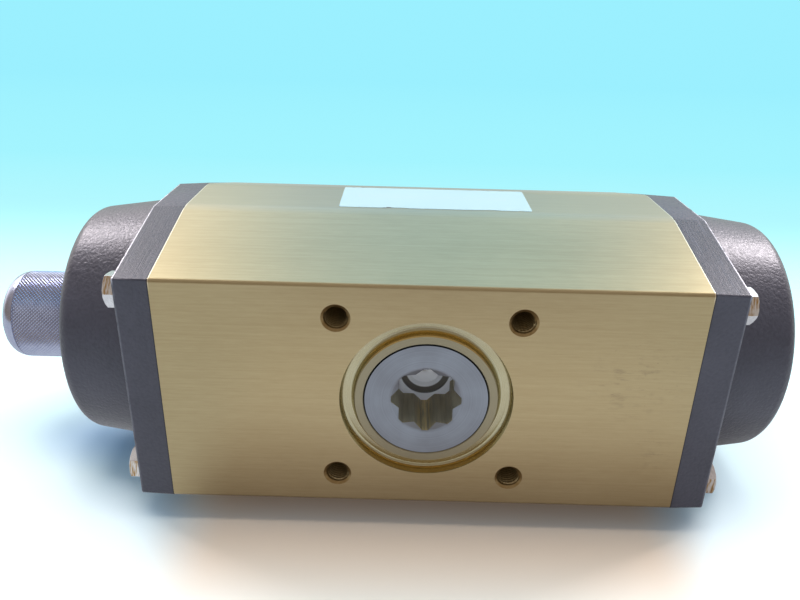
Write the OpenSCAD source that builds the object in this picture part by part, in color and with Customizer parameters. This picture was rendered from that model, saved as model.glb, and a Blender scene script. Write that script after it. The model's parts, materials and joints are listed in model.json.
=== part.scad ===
// Pneumatic quarter-turn valve actuator: rack and pinion, spring return, hand-set travel stop.
// X runs along the cylinder, -Y points out of the valve mounting face and +Z is up as it lies.
// The origin is the middle of the mounting face, on the pinion's axis. Millimetres.

/* [Body] */
// Length of the body between the two end caps
body_len = 213; // [205:1:240]
// Depth of the body from the valve face to the accessory face
body_depth = 146; // [142:1:160]
// Height over the top and bottom flats
body_h = 126; // [122:1:140]
// Height of the valve face and of the accessory face
face_h = 100; // [94:1:112]
// Width of the top and bottom flats
flat_w = 39; // [36:1:48]
// Rounding of the body's long edges
edge_r = 1.8; // [0.5:0.1:3]
// Radius of the cylinder bore
bore_r = 50; // [48.5:0.5:52]
// Chamfer at each mouth of the bore
bore_lead = 0.8; // [0.4:0.1:1.2]

/* [Valve mounting] */
// Pitch circle of the four valve bolts
valve_pcd = 102; // [98:1:108]
// Radius of the tapped holes' wall
valve_hole_r = 4.25; // [3.4:0.05:5.1]
// Depth of the tapped holes
valve_hole_depth = 20; // [14:1:24]
// Radius of the countersink at each hole's mouth
valve_sink_r = 5.8; // [5.3:0.1:7]
// Outer radius of the groove for the loose centring ring
groove_r = 35; // [33:0.1:38]
// Inner radius of that groove
groove_in_r = 29.2; // [28:0.1:30.5]
// Depth of that groove
groove_depth = 5; // [3:0.1:6]
// Rounding of the groove's two lower corners
groove_round = 1.8; // [0.4:0.1:2.4]
// How far the collar inside the groove lies under the valve face
collar_sink = 0.8; // [0.2:0.1:1.5]
// Chamfer of the collar's two rims
collar_lead = 0.4; // [0.2:0.1:0.8]

/* [End caps] */
// Thickness of the cap's flange
flange_t = 14.2; // [12:0.1:18]
// How far the flange stands back from the body's outline at the joint
flange_step = 0.1; // [0:0.1:1]
// Draft of the flange's sides over its thickness
flange_draft = 0.4; // [0.2:0.1:2]
// Rounding of the flange's outer rim
flange_round = 0.8; // [0.5:0.1:2]
// How far the drum's foot lies inside the body's height
drum_in = 4.5; // [3.5:0.5:6]
// Radius by which the drum narrows to its end
drum_draft = 5.2; // [3:0.1:7]
// Length of the drum past the flange
drum_len = 36.3; // [34:0.1:46]
// Rounding of the drum's end
drum_round = 6.6; // [4:0.1:8]
// Fillet between the drum and the flange
drum_fillet = 2; // [1:0.1:3]
// Wall of the drum's end
drum_end_t = 6; // [5:0.5:8]
// Radius of the cap's cavity at its mouth
cavity_r = 45.6; // [45:0.1:46.2]
// Radius by which the cavity narrows to its end
cavity_draft = 1.4; // [0.5:0.1:1.8]
// Length of the cap's spigot in the bore
spigot_len = 5.6; // [5:0.1:6.2]
// Radial clearance of the spigot in the bore
spigot_gap = 0.1; // [0.05:0.01:0.2]
// Radius of the boss in the middle of the cap
boss_r = 20; // [18:0.5:21]
// How far the boss stands into the cavity
boss_len = 8; // [5:0.5:10]

/* [Cap bolts] */
// Thread diameter of the cap bolts
bolt_d = 8; // [6:0.5:9]
// Width across flats of the bolt heads
bolt_af = 13; // [12:0.5:15]
// Height of the bolt heads
bolt_head_h = 5.5; // [5:0.1:7]
// Length of the bolts under the head
bolt_len = 35; // [30:1:40]
// Distance of the bolts from the valve face and the accessory face
bolt_in = 11; // [9:0.5:12]
// Height of the bolts above and below the cylinder's axis
bolt_z = 41; // [39:0.5:42]
// Radial clearance of the bolts in the cap
bolt_gap = 0.5; // [0.3:0.1:0.8]

/* [Pinion] */
// Radius of the journal that shows in the valve face
journal_r = 24.9; // [24.6:0.1:25.6]
// How far the pinion's end lies under the valve face
pinion_sink = 0.8; // [0:0.1:1]
// Radial gap between the journal and the body
journal_gap = 0.4; // [0.3:0.05:0.6]
// Gear module
gear_m = 3; // [2.9:0.05:3.1]
// Teeth on the pinion
gear_z = 14; // [14:2:14]
// Pressure angle of the teeth
gear_angle = 20; // [18:1:22]
// Backlash along the pitch line
backlash = 0.2; // [0.15:0.01:0.3]
// Length of the toothed part
gear_len = 30; // [28:1:34]
// Radius of the shaft between the teeth and the rear journal
shaft_r = 20; // [18.5:0.5:20.5]
// Radius of the rear journal
rear_r = 15.9; // [15:0.1:17]
// Thickness of the body's wall round the rear journal
rear_wall = 23.5; // [21:0.5:25]
// Radius of the accessory shaft
top_r = 13.5; // [12.5:0.1:14]
// Height of the accessory shaft over the accessory face
top_h = 20; // [18:0.5:30]
// Radius of its end, turned down along the flats
top_end_r = 13; // [12:0.1:13.4]
// Width across the accessory shaft's two flats
top_af = 20; // [18:0.5:22]
// Length of the accessory shaft's flats
top_flat_len = 9; // [8:0.5:12]
// Width of the slot in the accessory shaft
slot_w = 4; // [3:0.5:5]
// Depth of the slot in the accessory shaft
slot_depth = 4; // [3:0.5:5]
// Radius of the tapped hole in the accessory shaft's end
top_hole_r = 2.5; // [2.1:0.1:3.3]
// Depth of that hole
top_hole_depth = 14; // [12:0.5:14]

/* [Drive socket] */
// Width across flats of the two squares of the star
star_af = 22; // [20:0.5:22.5]
// Radius on which the points of the star end
star_tip_r = 14.3; // [14:0.1:14.6]
// Depth of the star
star_depth = 24; // [20:0.5:26]
// Radius of the chamfer at the socket's mouth
star_mouth_r = 15.4; // [15:0.1:16]
// Depth of that chamfer
star_mouth_depth = 1.6; // [1:0.1:2.4]
// Radius of the round step under the star
step_r = 10.6; // [9.5:0.1:10.8]
// Radius of the drilled recess under that step
recess_r = 8.2; // [7:0.1:8.6]
// Radius of the drilled recess at its floor
floor_r = 6.7; // [5.5:0.1:6.8]

/* [Pistons] */
// Distance of the pistons' inner faces from the pinion's axis at rest
piston_in = 46; // [46:0.5:47]
// Thickness of the piston heads
piston_t = 20; // [19:0.5:20.5]
// Radial clearance of the piston heads in the bore
piston_gap = 0.35; // [0.25:0.05:0.5]
// Radial clearance of the seals and guides in the bore
slide_gap = 0.15; // [0.1:0.01:0.2]
// Quarter turn that the pistons' stroke gives
turn = 90; // [80:1:90]
// Width of the racks
rack_w = 24; // [20:1:26]
// Gap between the racks' backs and the bore
rack_back_gap = 3.5; // [3.2:0.1:4.5]
// Gap between a rack's end and the other piston at rest
rack_end_gap = 2; // [1:0.5:3]
// Depth of the spring pocket in a piston
pocket_depth = 8; // [6:0.5:9]

/* [Springs] */
// Wire diameter of the outer springs
outer_wire = 6; // [5:0.25:6.5]
// Mean radius of the outer springs
outer_mean_r = 38; // [37:0.5:38.5]
// Turns of the outer springs
outer_turns = 8; // [6:0.5:9]
// Wire diameter of the inner springs
inner_wire = 4.5; // [3.5:0.25:5]
// Mean radius of the inner springs
inner_mean_r = 25.5; // [25:0.5:26]
// Turns of the inner springs
inner_turns = 10; // [8:0.5:11]

/* [Travel stop] */
// Diameter of the stop screw
stop_d = 16; // [12:0.5:16]
// Outer radius of the threaded bush
bush_r = 13; // [11.5:0.5:14]
// Radius of the swivel foot
foot_r = 14; // [12:0.5:15]
// Thickness of the swivel foot
foot_t = 8; // [7:0.5:10]
// Distance between the foot and the piston at full stroke
foot_gap = 1.2; // [1:0.1:2]
// Radius of the knob
knob_r = 21.2; // [19:0.1:24]
// Length of the knob
knob_len = 42.2; // [36:0.1:50]
// Rounding of the knob's outer rim
knob_round = 6.8; // [3:0.1:8]
// Gap between the knob and the cap
knob_gap = 0.8; // [0.4:0.1:1.5]
// Length of the plain band beside the cap
knob_band = 2.6; // [1.5:0.1:4]
// How far the knob's band lies under its grip
knob_band_step = 0.6; // [0.3:0.1:1]

/* [Air ports] */
// Distance between the two ports
port_pitch = 24; // [22:0.5:26]
// Radius of the ports' wall
port_r = 5.75; // [5:0.05:6.2]
// Depth of the ports
port_depth = 9; // [8:0.5:9.5]
// Radius of the hole from the first port into the bore
port_drill_r = 3; // [2:0.25:4]
// Radius of the gallery to the end chambers
gallery_r = 3; // [2.5:0.25:3.5]
// Distance of the gallery from the cylinder's axis towards the accessory face
gallery_y = 27; // [25:0.5:30]
// Height of the gallery over the bottom flat
gallery_z = 9.5; // [9:0.25:10]

/* [Accessory mounting] */
// Distance between the accessory screws along the body
accessory_x = 80; // [76:1:90]
// Distance between the accessory screws across the body
accessory_z = 30; // [28:1:34]
// Radius of the accessory and solenoid screw holes
small_hole_r = 2.1; // [1.6:0.05:2.5]
// Depth of the accessory screw holes
accessory_depth = 12; // [8:0.5:14]
// Distance between the solenoid screws along the body
solenoid_x = 32; // [30:1:36]
// Distance between the solenoid screws across the body
solenoid_y = 24; // [22:0.5:28]
// Depth of the solenoid screw holes
solenoid_depth = 8; // [6:0.5:9]

/* [Label] */
// Length of the label
label_len = 85.6; // [60:0.1:100]
// Width of the label
label_w = 33.4; // [25:0.1:34]
// Thickness of the label
label_t = 0.15; // [0.1:0.01:0.3]
// Distance of the label's middle from the pinion's axis
label_x = 3; // [-20:0.5:20]

/* [Hidden] */
$fn = 96;

// Overlap of two shapes that are joined or cut, and of stacked turned shapes
eps = 1;
lap = 0.01;
// Slope of the cone that a drill leaves under a hole
drill_angle = 31;
// Ends of the body, and the cylinder's axis
end_x = body_len / 2;
axis_y = body_depth / 2;
half_h = body_h / 2;
// Slope of the body's four slanted sides
slant = atan2(half_h - face_h / 2, axis_y - flat_w / 2);
// Running and seat clearances of small round parts
run_gap = 0.05;
seat_gap = 0.05;
// Section of the seals and of the small seals, and the play beside them in their grooves
seal_d = 3.4;
small_seal_d = 2;
groove_side = 0.25;
// Share of its section that a seal keeps when it is pressed flat
squeeze = 0.85;
// Radii of the seals' outer rims, and of the floors of the grooves that hold them
cap_seal_r = bore_r - run_gap;
piston_seal_r = bore_r - slide_gap;
front_seal_r = journal_r + journal_gap - run_gap;
rear_seal_r = rear_r + journal_gap - run_gap;
seal_room = seal_d + seat_gap;
// Radius at which the collar's face ends in its inner chamfer
collar_in = journal_r + journal_gap + collar_lead;
// Pinion sizes that follow from the gear
pitch_r = gear_m * gear_z / 2;
base_r = pitch_r * cos(gear_angle);
tip_r = pitch_r + gear_m;
root_r = pitch_r - gear_m;
tooth_pitch = PI * gear_m;
rack_addendum = 0.75 * gear_m;
rack_dedendum = 1.2 * gear_m;
stroke = pitch_r * turn * PI / 180;
// Stations along the pinion, and the room round its teeth and under its rear journal's end
gear_y0 = axis_y - gear_len / 2;
gear_y1 = axis_y + gear_len / 2;
gear_room = 0.6;
rear_sink = 1;
thrust_t = 2;
shoulder_y = body_depth - rear_wall - thrust_t - 2 * run_gap;
bearing_front_y = 9;
bearing_front_len = 10;
bearing_t = 2;
bearing_slit = 0.8;
seal_front_y = 3.5;
bearing_rear_y = body_depth - 18;
bearing_rear_len = 9;
seal_rear_y = body_depth - 6.5;
// Depths of the steps under the star, its centre hole and the chamfer between step and recess
step_len = 0.8;
recess_lead = 0.39;
recess_len = 1.29;
dish_len = 0.83;
centre_r = 1.5;
centre_depth = 1.7;
// Washers and the ring that hold the pinion at the accessory face
washer_r = 21;
washer_t = 1.5;
washer_gap = 0.15;
support_step = 0.5;
thrust_gap = 0.3;
snap_opening = 5;
snap_t = 1.5;
snap_depth = 0.9;
snap_rim = 2.4;
lug_r = 2.4;
lug_out = 3.2;
lug_hole_r = 1;
snap_y = body_depth + thrust_t + washer_t + 2 * run_gap;
// Piston stations at rest, measured along the bore from the pinion's axis
piston_lead = 0.8;
head_r = bore_r - piston_gap;
head_out = piston_in + piston_t;
rack_reach = piston_in - rack_end_gap;
arm_r = bore_r - rack_back_gap;
rack_cut = 30;
gusset_len = 5;
gusset_rise = 4;
spring_room = 1;
pocket_r = outer_mean_r + outer_wire / 2 + spring_room;
ridge_in = inner_mean_r + inner_wire / 2 + spring_room;
ridge_out = outer_mean_r - outer_wire / 2 - spring_room;
hub_r = inner_mean_r - inner_wire / 2 - 1.5 * spring_room;
ridge_h = 4;
band_x = 2.5;
band_len = 6;
band_t = 2;
seal_x = 11.5;
seal_groove = seal_d + 2 * groove_side;
// Pads on the racks' backs
pad_len = 20;
pad_w = 18;
pad_end = 3;
pad_peg_r = 3;
pad_peg_len = 3;
pad_peg_room = 0.4;
// Drum's radius at its foot, and cap stations measured outwards from the body's end
drum_r = half_h - drum_in;
drum_end = flange_t + drum_len;
cavity_end = drum_end - drum_end_t;
cavity_round = 4;
boss_draft = 0.4;
flange_edge_r = edge_r / 2;
cap_seal_z = 2.8;
// The air passage in a cap, the seat of its seal, and the cross drilling from the second port
passage_z = 16;
passage_in = cavity_r - 3;
passage_r = 2.5;
passage_seat_r = gallery_r + small_seal_d + 0.3;
cross_r = 2.1;
cross_x = port_pitch / 2 - 2;
cross_z = gallery_z - 2;
port_drill_in = bore_r - 5;
// Bolt heads: chamfer, depth of the holes past the bolts' ends, and how far each head is turned
bolt_chamfer = 0.9;
bolt_over = 3;
left_turns = [23, -6, -7, 12];
right_turns = [31, 7.5, 9, -14];
// Travel stop stations, measured along the bore from the pinion's axis
drum_face = end_x + drum_end;
foot_face = head_out + stroke + foot_gap;
foot_pin_r = 6;
foot_pin_len = 5;
neck_r = stop_d / 2;
knob_in = drum_face + knob_gap;
knob_out = knob_in + knob_len;
screw_end = knob_out - 14;
screw_lead = 1.2;
foot_lead = 1;
knob_recess_r = 17;
knob_recess = 5;
cup_r = 8;
cup_depth = 9;
knob_screw_r = 4;
knob_screw_head_r = 6.5;
knob_screw_head_h = 8;
knob_screw_len = 17;
knob_screw_hex = 6;
knob_screw_hex_depth = 4;
knob_screw_gap = 0.3;
knob_edge = 0.5;
collar_t = 2;
collar_step = 3;
bush_in = drum_face - drum_end_t - boss_len - collar_t;
stop_seal_in = 6;
// Rounding of the label's corners, and how far it lies over the flat's rear edge from its middle
label_corner = 1.5;
label_shift = (flat_w - label_w) / 2 - 0.5;
// Spring seats
spring_seat_in = head_out - pocket_depth;
spring_seat_out = end_x + cavity_end;
// Colours
gold = [0.72, 0.62, 0.40];
cap_black = [0.20, 0.19, 0.21];
steel = [0.72, 0.73, 0.75];
bright = [0.85, 0.86, 0.88];
cast = [0.62, 0.63, 0.65];
rubber = [0.06, 0.06, 0.07];
plastic = [0.86, 0.84, 0.76];
spring_steel = [0.30, 0.31, 0.34];
knob_blue = [0.24, 0.27, 0.34];
paper = [0.90, 0.95, 0.96];

// Unit vector along v
function unit(v) = v / norm(v);

// Points of the arc of radius r that rounds the corner b between the sides to a and to c
function corner_arc(a, b, c, r, n) =
    let (u = unit(a - b), w = unit(c - b), half = acos(u * w) / 2,
         mid = b + unit(u + w) * r / sin(half),
         p = b + u * r / tan(half) - mid,
         a0 = atan2(p.y, p.x),
         side = u.x * w.y - u.y * w.x < 0 ? 1 : -1)
    [for (i = [0:n]) let (t = a0 + side * (180 - 2 * half) * i / n) mid + r * [cos(t), sin(t)]];

// A closed outline with every corner rounded
function rounded(pts, r, n = 4) =
    let (k = len(pts))
    [for (i = [0:k - 1]) each corner_arc(pts[(i + k - 1) % k], pts[i], pts[(i + 1) % k], r, n)];

// The body's eight-sided section about the cylinder's axis, moved in by inset
function section(inset) =
    let (d = axis_y - inset, h = half_h - inset,
         f = face_h / 2 - inset * tan(45 - slant / 2), w = flat_w / 2 - inset * tan(slant / 2))
    [[-d, -f], [-w, -h], [w, -h], [d, -f], [d, f], [w, h], [-w, h], [-d, f]];

// Angle that an involute of the base circle has turned through at radius r, in degrees
function involute(r) = let (a = acos(base_r / r)) tan(a) * 180 / PI - a;

// Half the angle of a pinion tooth at radius r
function tooth_half(r) =
    (tooth_pitch / 2 - backlash / 2) / (2 * pitch_r) * 180 / PI
    + involute(pitch_r) - involute(max(r, base_r));

// A point at radius r and angle a
function polar(r, a) = r * [cos(a), sin(a)];

// One flank of a pinion tooth, from the root to the tip, on the given side of the tooth's middle
flank_steps = 6;
function flank(mid, side) =
    [polar(root_r, mid + side * tooth_half(base_r)),
     for (i = [0:flank_steps])
        let (r = base_r + (tip_r - base_r) * i / flank_steps) polar(r, mid + side * tooth_half(r))];

// A list back to front
function reversed(list) = [for (i = [len(list) - 1:-1:0]) list[i]];

// The outline of the toothed part
function gear_outline() =
    [for (k = [0:gear_z - 1])
        let (mid = k * 360 / gear_z) each concat(flank(mid, -1), reversed(flank(mid, 1)))];

// Centre line of a coil spring: height at u turns, with one closed turn at each end
function coil_height(u, turns, wire, length) =
    let (closed = 1.03 * wire, rise = (length - 2 * closed) / (turns - 2))
    u < 1 ? closed * u : u > turns - 1 ? length - closed * (turns - u) : closed + rise * (u - 1);

// Places a shape drawn round +Z so that it runs outwards from the body's end, side 1 right and -1 left
module at_end(side, x = end_x) {
    mirror([side > 0 ? 0 : 1, 0, 0]) translate([x, axis_y, 0]) rotate([90, 0, 90]) children();
}

// Places a shape drawn round +Z on the pinion's axis, pointing at the accessory face
module at_pinion(y = 0) {
    translate([0, y, 0]) rotate([-90, 0, 0]) children();
}

// A ring between two radii
module ring(r_in, r_out, h) {
    difference() {
        cylinder(r = r_out, h = h);
        translate([0, 0, -eps]) cylinder(r = r_in, h = h + 2 * eps);
    }
}

// A rubber ring of round section on the given mean radius
module seal(mean_r, d) {
    rotate_extrude() translate([mean_r, 0]) circle(d = d, $fn = 32);
}

// A helical spring of round wire standing on z = 0
module coil(mean_r, wire, turns, length, per_turn = 18, sides = 7) {
    rings = round(turns * per_turn);
    slope = (length - wire) / turns / (2 * PI * mean_r);
    points = [
        for (i = [0:rings], j = [0:sides - 1])
            let (u = i * turns / rings, a = 360 * u, b = 360 * j / sides,
                 out = [cos(a), sin(a), 0], up = unit([slope * sin(a), -slope * cos(a), 1]),
                 height = wire / 2 + coil_height(u, turns, wire, length - wire))
            mean_r * out + [0, 0, height] + wire / 2 * (cos(b) * out + sin(b) * up)
    ];
    faces = [
        [for (j = [0:sides - 1]) j],
        for (i = [0:rings - 1], j = [0:sides - 1])
            let (p = i * sides + j, q = i * sides + (j + 1) % sides)
            each [[p, p + sides, q + sides], [p, q + sides, q]],
        [for (j = [sides - 1:-1:0]) rings * sides + j]
    ];
    polyhedron(points, faces);
}

// The four cap bolt places about the cylinder's axis, each turned by its own angle
module bolt_places(turns = [0, 0, 0, 0]) {
    for (i = [0:3])
        translate([(i < 2 ? -1 : 1) * (axis_y - bolt_in), (i % 2 == 0 ? -1 : 1) * bolt_z, 0])
            rotate([0, 0, turns[i]]) children();
}

// What is turned away round the pinion: the groove for a centring ring, and the collar's face
module centring_groove() {
    inner = [groove_in_r, groove_depth];
    outer = [groove_r, groove_depth];
    outline = concat(
        [[0, -eps], [groove_r, -eps]],
        corner_arc([groove_r, 0], outer, inner, groove_round, 8),
        corner_arc(outer, inner, [groove_in_r, 0], groove_round, 8),
        [[groove_in_r, collar_sink + collar_lead], [groove_in_r - collar_lead, collar_sink],
         [collar_in, collar_sink], [collar_in - collar_lead, collar_sink + collar_lead],
         [0, collar_sink + collar_lead]]
    );
    rotate_extrude() polygon(outline);
}

// The cone that a drill of radius r leaves under the end of its hole
module drill_point(r) {
    rise = r * tan(drill_angle);
    translate([0, 0, -rise]) cylinder(r1 = 0, r2 = r, h = rise + lap, $fn = 32);
}

// The holes of the valve face: four tapped holes with countersunk mouths
module valve_holes() {
    for (k = [0:3])
        rotate([0, 0, 45 + 90 * k]) translate([valve_pcd / 2, 0, 0]) {
            translate([0, 0, -eps]) cylinder(r = valve_hole_r, h = valve_hole_depth + eps, $fn = 32);
            sink = valve_sink_r - valve_hole_r;
            translate([0, 0, -eps])
                cylinder(r1 = valve_sink_r + eps, r2 = valve_hole_r, h = sink + eps, $fn = 32);
            translate([0, 0, valve_hole_depth]) mirror([0, 0, 1]) drill_point(valve_hole_r);
        }
}

// The pinion's way through the body, with its rear spot face and rear hole
module pinion_way() {
    at_pinion(-eps) cylinder(r = journal_r + journal_gap, h = axis_y);
    at_pinion(axis_y) cylinder(r = tip_r + gear_room, h = body_depth - rear_wall - axis_y);
    at_pinion(axis_y) cylinder(r = rear_r + journal_gap, h = axis_y + eps);
}

// The ports, their drillings and the gallery to the end chambers
module air_ways() {
    for (s = [-1, 1])
        translate([s * port_pitch / 2, axis_y, -half_h - eps])
            cylinder(r = port_r, h = port_depth + eps, $fn = 48);
    translate([-port_pitch / 2, axis_y, -half_h])
        cylinder(r = port_drill_r, h = half_h - port_drill_in, $fn = 32);
    translate([cross_x, axis_y, cross_z - half_h])
        rotate([-90, 0, 0]) cylinder(r = cross_r, h = gallery_y, $fn = 32);
    translate([-end_x - eps, axis_y + gallery_y, gallery_z - half_h])
        rotate([0, 90, 0]) cylinder(r = gallery_r, h = body_len + 2 * eps, $fn = 32);
    for (x = [-1, 1], y = [-1, 1])
        translate([x * solenoid_x / 2, axis_y + y * solenoid_y / 2, -half_h - eps])
            cylinder(r = small_hole_r, h = solenoid_depth + eps, $fn = 32);
}

module body() {
    color(gold) difference() {
        translate([-end_x, axis_y, 0]) rotate([90, 0, 90])
            linear_extrude(body_len) polygon(rounded(section(0), edge_r));
        at_pinion() centring_groove();
        translate([-end_x - eps, axis_y, 0])
            rotate([0, 90, 0]) cylinder(r = bore_r, h = body_len + 2 * eps);
        for (s = [-1, 1])
            at_end(s, end_x - bore_lead)
                cylinder(r1 = bore_r, r2 = bore_r + bore_lead + eps, h = bore_lead + eps);
        pinion_way();
        at_pinion() valve_holes();
        for (s = [-1, 1])
            at_end(s, end_x + flange_t - bolt_len - bolt_over) bolt_places()
                cylinder(r = bolt_d / 2 + run_gap, h = bolt_len + bolt_over, $fn = 32);
        for (x = [-1, 1], z = [-1, 1])
            translate([x * accessory_x / 2, body_depth + eps, z * accessory_z / 2]) rotate([90, 0, 0])
                cylinder(r = small_hole_r, h = accessory_depth + eps, $fn = 32);
        air_ways();
    }
}

// A slice of the cap's flange at height z
module flange_slice(z, inset) {
    translate([0, 0, z]) linear_extrude(lap) polygon(rounded(section(inset), flange_edge_r));
}

// The flange with its drafted sides and rounded outer rim
module flange() {
    top = flange_t - flange_round;
    full = flange_step + flange_draft;
    hull() {
        flange_slice(0, flange_step);
        flange_slice(top, full);
        for (a = [30, 60, 90])
            flange_slice(top + flange_round * sin(a) - lap, full + flange_round * (1 - cos(a)));
    }
}

// The drum: fillet from the flange, drafted wall and rounded end
module drum() {
    wall_in = [drum_r, flange_t];
    wall_out = [drum_r - drum_draft, drum_end];
    outline = concat(
        [[0, flange_t - eps], [drum_r + drum_fillet, flange_t - eps]],
        corner_arc([drum_r + 4 * drum_fillet, flange_t], wall_in, wall_out, drum_fillet, 6),
        corner_arc(wall_in, wall_out, [0, drum_end], drum_round, 12),
        [[0, drum_end]]
    );
    rotate_extrude() polygon(outline);
}

// The cap's cavity round the boss in its middle
module cavity() {
    mouth = [cavity_r, -spigot_len - eps];
    far = [cavity_r - cavity_draft, cavity_end];
    outline = concat(
        [[0, -spigot_len - eps], mouth],
        corner_arc(mouth, far, [0, cavity_end], cavity_round, 8),
        [[boss_r, cavity_end], [boss_r - boss_draft, cavity_end - boss_len], [0, cavity_end - boss_len]]
    );
    rotate_extrude() polygon(outline);
}

// The casting that both end caps start from
module cap_casting() {
    difference() {
        union() {
            flange();
            drum();
            translate([0, 0, -spigot_len]) cylinder(r = bore_r - spigot_gap, h = spigot_len + eps);
        }
        cavity();
        translate([0, 0, -cap_seal_z - seal_groove / 2])
            ring(cap_seal_r - seal_room, bore_r + eps, seal_groove);
        bolt_places() translate([0, 0, -eps])
            cylinder(r = bolt_d / 2 + bolt_gap, h = flange_t + 2 * eps, $fn = 32);
        air_passage();
    }
}

// The slanting passage from the gallery's mouth to the cavity, with the seat of its seal
module air_passage() {
    from = [gallery_y, gallery_z - half_h];
    reach = norm(from);
    lean = atan2(reach - passage_in, passage_z);
    rotate([0, 0, atan2(from.y, from.x)]) translate([reach, 0, 0]) {
        rotate([0, -lean, 0]) cylinder(r = passage_r, h = passage_z / cos(lean), $fn = 32);
        translate([0, 0, -eps]) cylinder(r = passage_seat_r, h = eps + small_seal_d * squeeze, $fn = 32);
    }
}

module end_cap_left() {
    color(cap_black) difference() {
        at_end(-1) cap_casting();
        at_end(-1) translate([0, 0, cavity_end - boss_len - eps])
            cylinder(r = bush_r + run_gap, h = boss_len + drum_end_t + 2 * eps);
    }
}

module end_cap_right() {
    color(cap_black) at_end(1) cap_casting();
}

// One hexagon bolt standing on the flange, its corners chamfered
module cap_bolt() {
    corner = bolt_af / 2 / cos(30);
    intersection() {
        cylinder(r = corner, h = bolt_head_h, $fn = 6);
        cylinder(r1 = corner - bolt_chamfer + bolt_head_h * tan(60), r2 = corner - bolt_chamfer,
            h = bolt_head_h, $fn = 48);
    }
    translate([0, 0, -bolt_len]) cylinder(r = bolt_d / 2, h = bolt_len + eps, $fn = 32);
}

module cap_bolts(side) {
    color(bright) at_end(side, end_x + flange_t)
        bolt_places(side < 0 ? left_turns : right_turns) cap_bolt();
}

module cap_bolts_left() { cap_bolts(-1); }
module cap_bolts_right() { cap_bolts(1); }

module cap_seal(side) {
    color(rubber) at_end(side, end_x - cap_seal_z) seal(cap_seal_r - seal_d / 2, seal_d);
}

module cap_seal_left() { cap_seal(-1); }
module cap_seal_right() { cap_seal(1); }

// The small seal round the gallery's mouth, in its seat in the cap
module passage_seal(side) {
    color(rubber) at_end(side, end_x + small_seal_d * squeeze / 2)
        translate([gallery_y, gallery_z - half_h, 0])
            scale([1, 1, squeeze - lap]) seal(gallery_r + small_seal_d / 2 + 0.1, small_seal_d);
}

module passage_seal_left() { passage_seal(-1); }
module passage_seal_right() { passage_seal(1); }

// The eight-pointed drive socket with its chamfered mouth and stepped floor
module drive_socket() {
    translate([0, 0, -eps]) intersection() {
        cylinder(r = star_tip_r, h = star_depth + eps);
        union() for (a = [0, 45])
            rotate([0, 0, a]) translate([-star_af / 2, -star_af / 2, 0])
                cube([star_af, star_af, star_depth + eps]);
    }
    mouth_in = star_af / 2 / cos(22.5);
    slope = (star_mouth_r - mouth_in) / star_mouth_depth;
    translate([0, 0, -eps])
        cylinder(r1 = star_mouth_r + eps * slope, r2 = mouth_in, h = star_mouth_depth + eps);
    lead_z = star_depth + step_len;
    recess_z = lead_z + recess_lead;
    dish_z = recess_z + recess_len;
    cylinder(r = step_r, h = lead_z);
    translate([0, 0, lead_z - lap]) cylinder(r1 = step_r - 0.3, r2 = recess_r, h = recess_lead + lap);
    translate([0, 0, recess_z - lap]) cylinder(r1 = recess_r, r2 = floor_r, h = recess_len + lap);
    translate([0, 0, dish_z - lap]) cylinder(r1 = floor_r, r2 = centre_r, h = dish_len + lap);
    translate([0, 0, dish_z]) cylinder(r = centre_r, h = dish_len + centre_depth, $fn = 32);
}

// The turned blank of the pinion, before its teeth
module pinion_blank() {
    cylinder(r = journal_r, h = gear_y0 - pinion_sink);
    translate([0, 0, gear_y0 - pinion_sink - eps]) cylinder(r = root_r, h = gear_len + 2 * eps);
    translate([0, 0, gear_y1 - pinion_sink]) cylinder(r = shaft_r, h = shoulder_y - gear_y1);
    translate([0, 0, shoulder_y - pinion_sink - eps])
        cylinder(r = rear_r, h = body_depth - shoulder_y - rear_sink + eps);
    translate([0, 0, body_depth - pinion_sink - rear_sink - eps])
        cylinder(r = top_r, h = top_h + rear_sink + eps);
}

// The flats, the slot and the tapped hole of the accessory shaft
module accessory_end() {
    far = body_depth + top_h;
    translate([0, 0, far - top_flat_len]) ring(top_end_r, top_r + eps, top_flat_len + eps);
    for (s = [-1, 1])
        translate([s > 0 ? top_af / 2 : -top_r - eps, -top_r - eps, far - top_flat_len])
            cube([top_r + eps - top_af / 2, 2 * (top_r + eps), top_flat_len + eps]);
    translate([-top_r - eps, -slot_w / 2, far - slot_depth])
        cube([2 * (top_r + eps), slot_w, slot_depth + eps]);
    translate([0, 0, far - top_hole_depth]) {
        cylinder(r = top_hole_r, h = top_hole_depth + eps, $fn = 32);
        drill_point(top_hole_r);
    }
}

module pinion() {
    color(steel) at_pinion() difference() {
        union() {
            translate([0, 0, pinion_sink]) pinion_blank();
            translate([0, 0, gear_y0]) linear_extrude(gear_len) polygon(gear_outline());
        }
        translate([0, 0, pinion_sink]) drive_socket();
        translate([0, 0, bearing_front_y]) ring(journal_r - bearing_t, journal_r + eps, bearing_front_len);
        translate([0, 0, seal_front_y]) ring(front_seal_r - seal_room, journal_r + eps, seal_groove);
        translate([0, 0, bearing_rear_y]) ring(rear_r - bearing_t, rear_r + eps, bearing_rear_len);
        translate([0, 0, seal_rear_y]) ring(rear_seal_r - seal_room, rear_r + eps, seal_groove);
        translate([0, 0, snap_y]) ring(top_r - snap_depth, top_r + eps, snap_t + 2 * run_gap);
        accessory_end();
    }
}

// A split plastic bearing in its groove in a journal of radius r
module journal_bearing(r, y, length) {
    color(plastic) at_pinion(y + run_gap) difference() {
        ring(r - bearing_t + run_gap, r + journal_gap - run_gap, length - 2 * run_gap);
        translate([0, -bearing_slit / 2, -eps]) cube([r + eps, bearing_slit, length + 2 * eps]);
    }
}

module bearing_front() { journal_bearing(journal_r, bearing_front_y, bearing_front_len); }
module bearing_rear() { journal_bearing(rear_r, bearing_rear_y, bearing_rear_len); }

// A seal in its groove in a journal, reaching out to radius r
module journal_seal(r, y) {
    color(rubber) at_pinion(y + seal_groove / 2) seal(r - seal_d / 2, seal_d);
}

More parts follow.
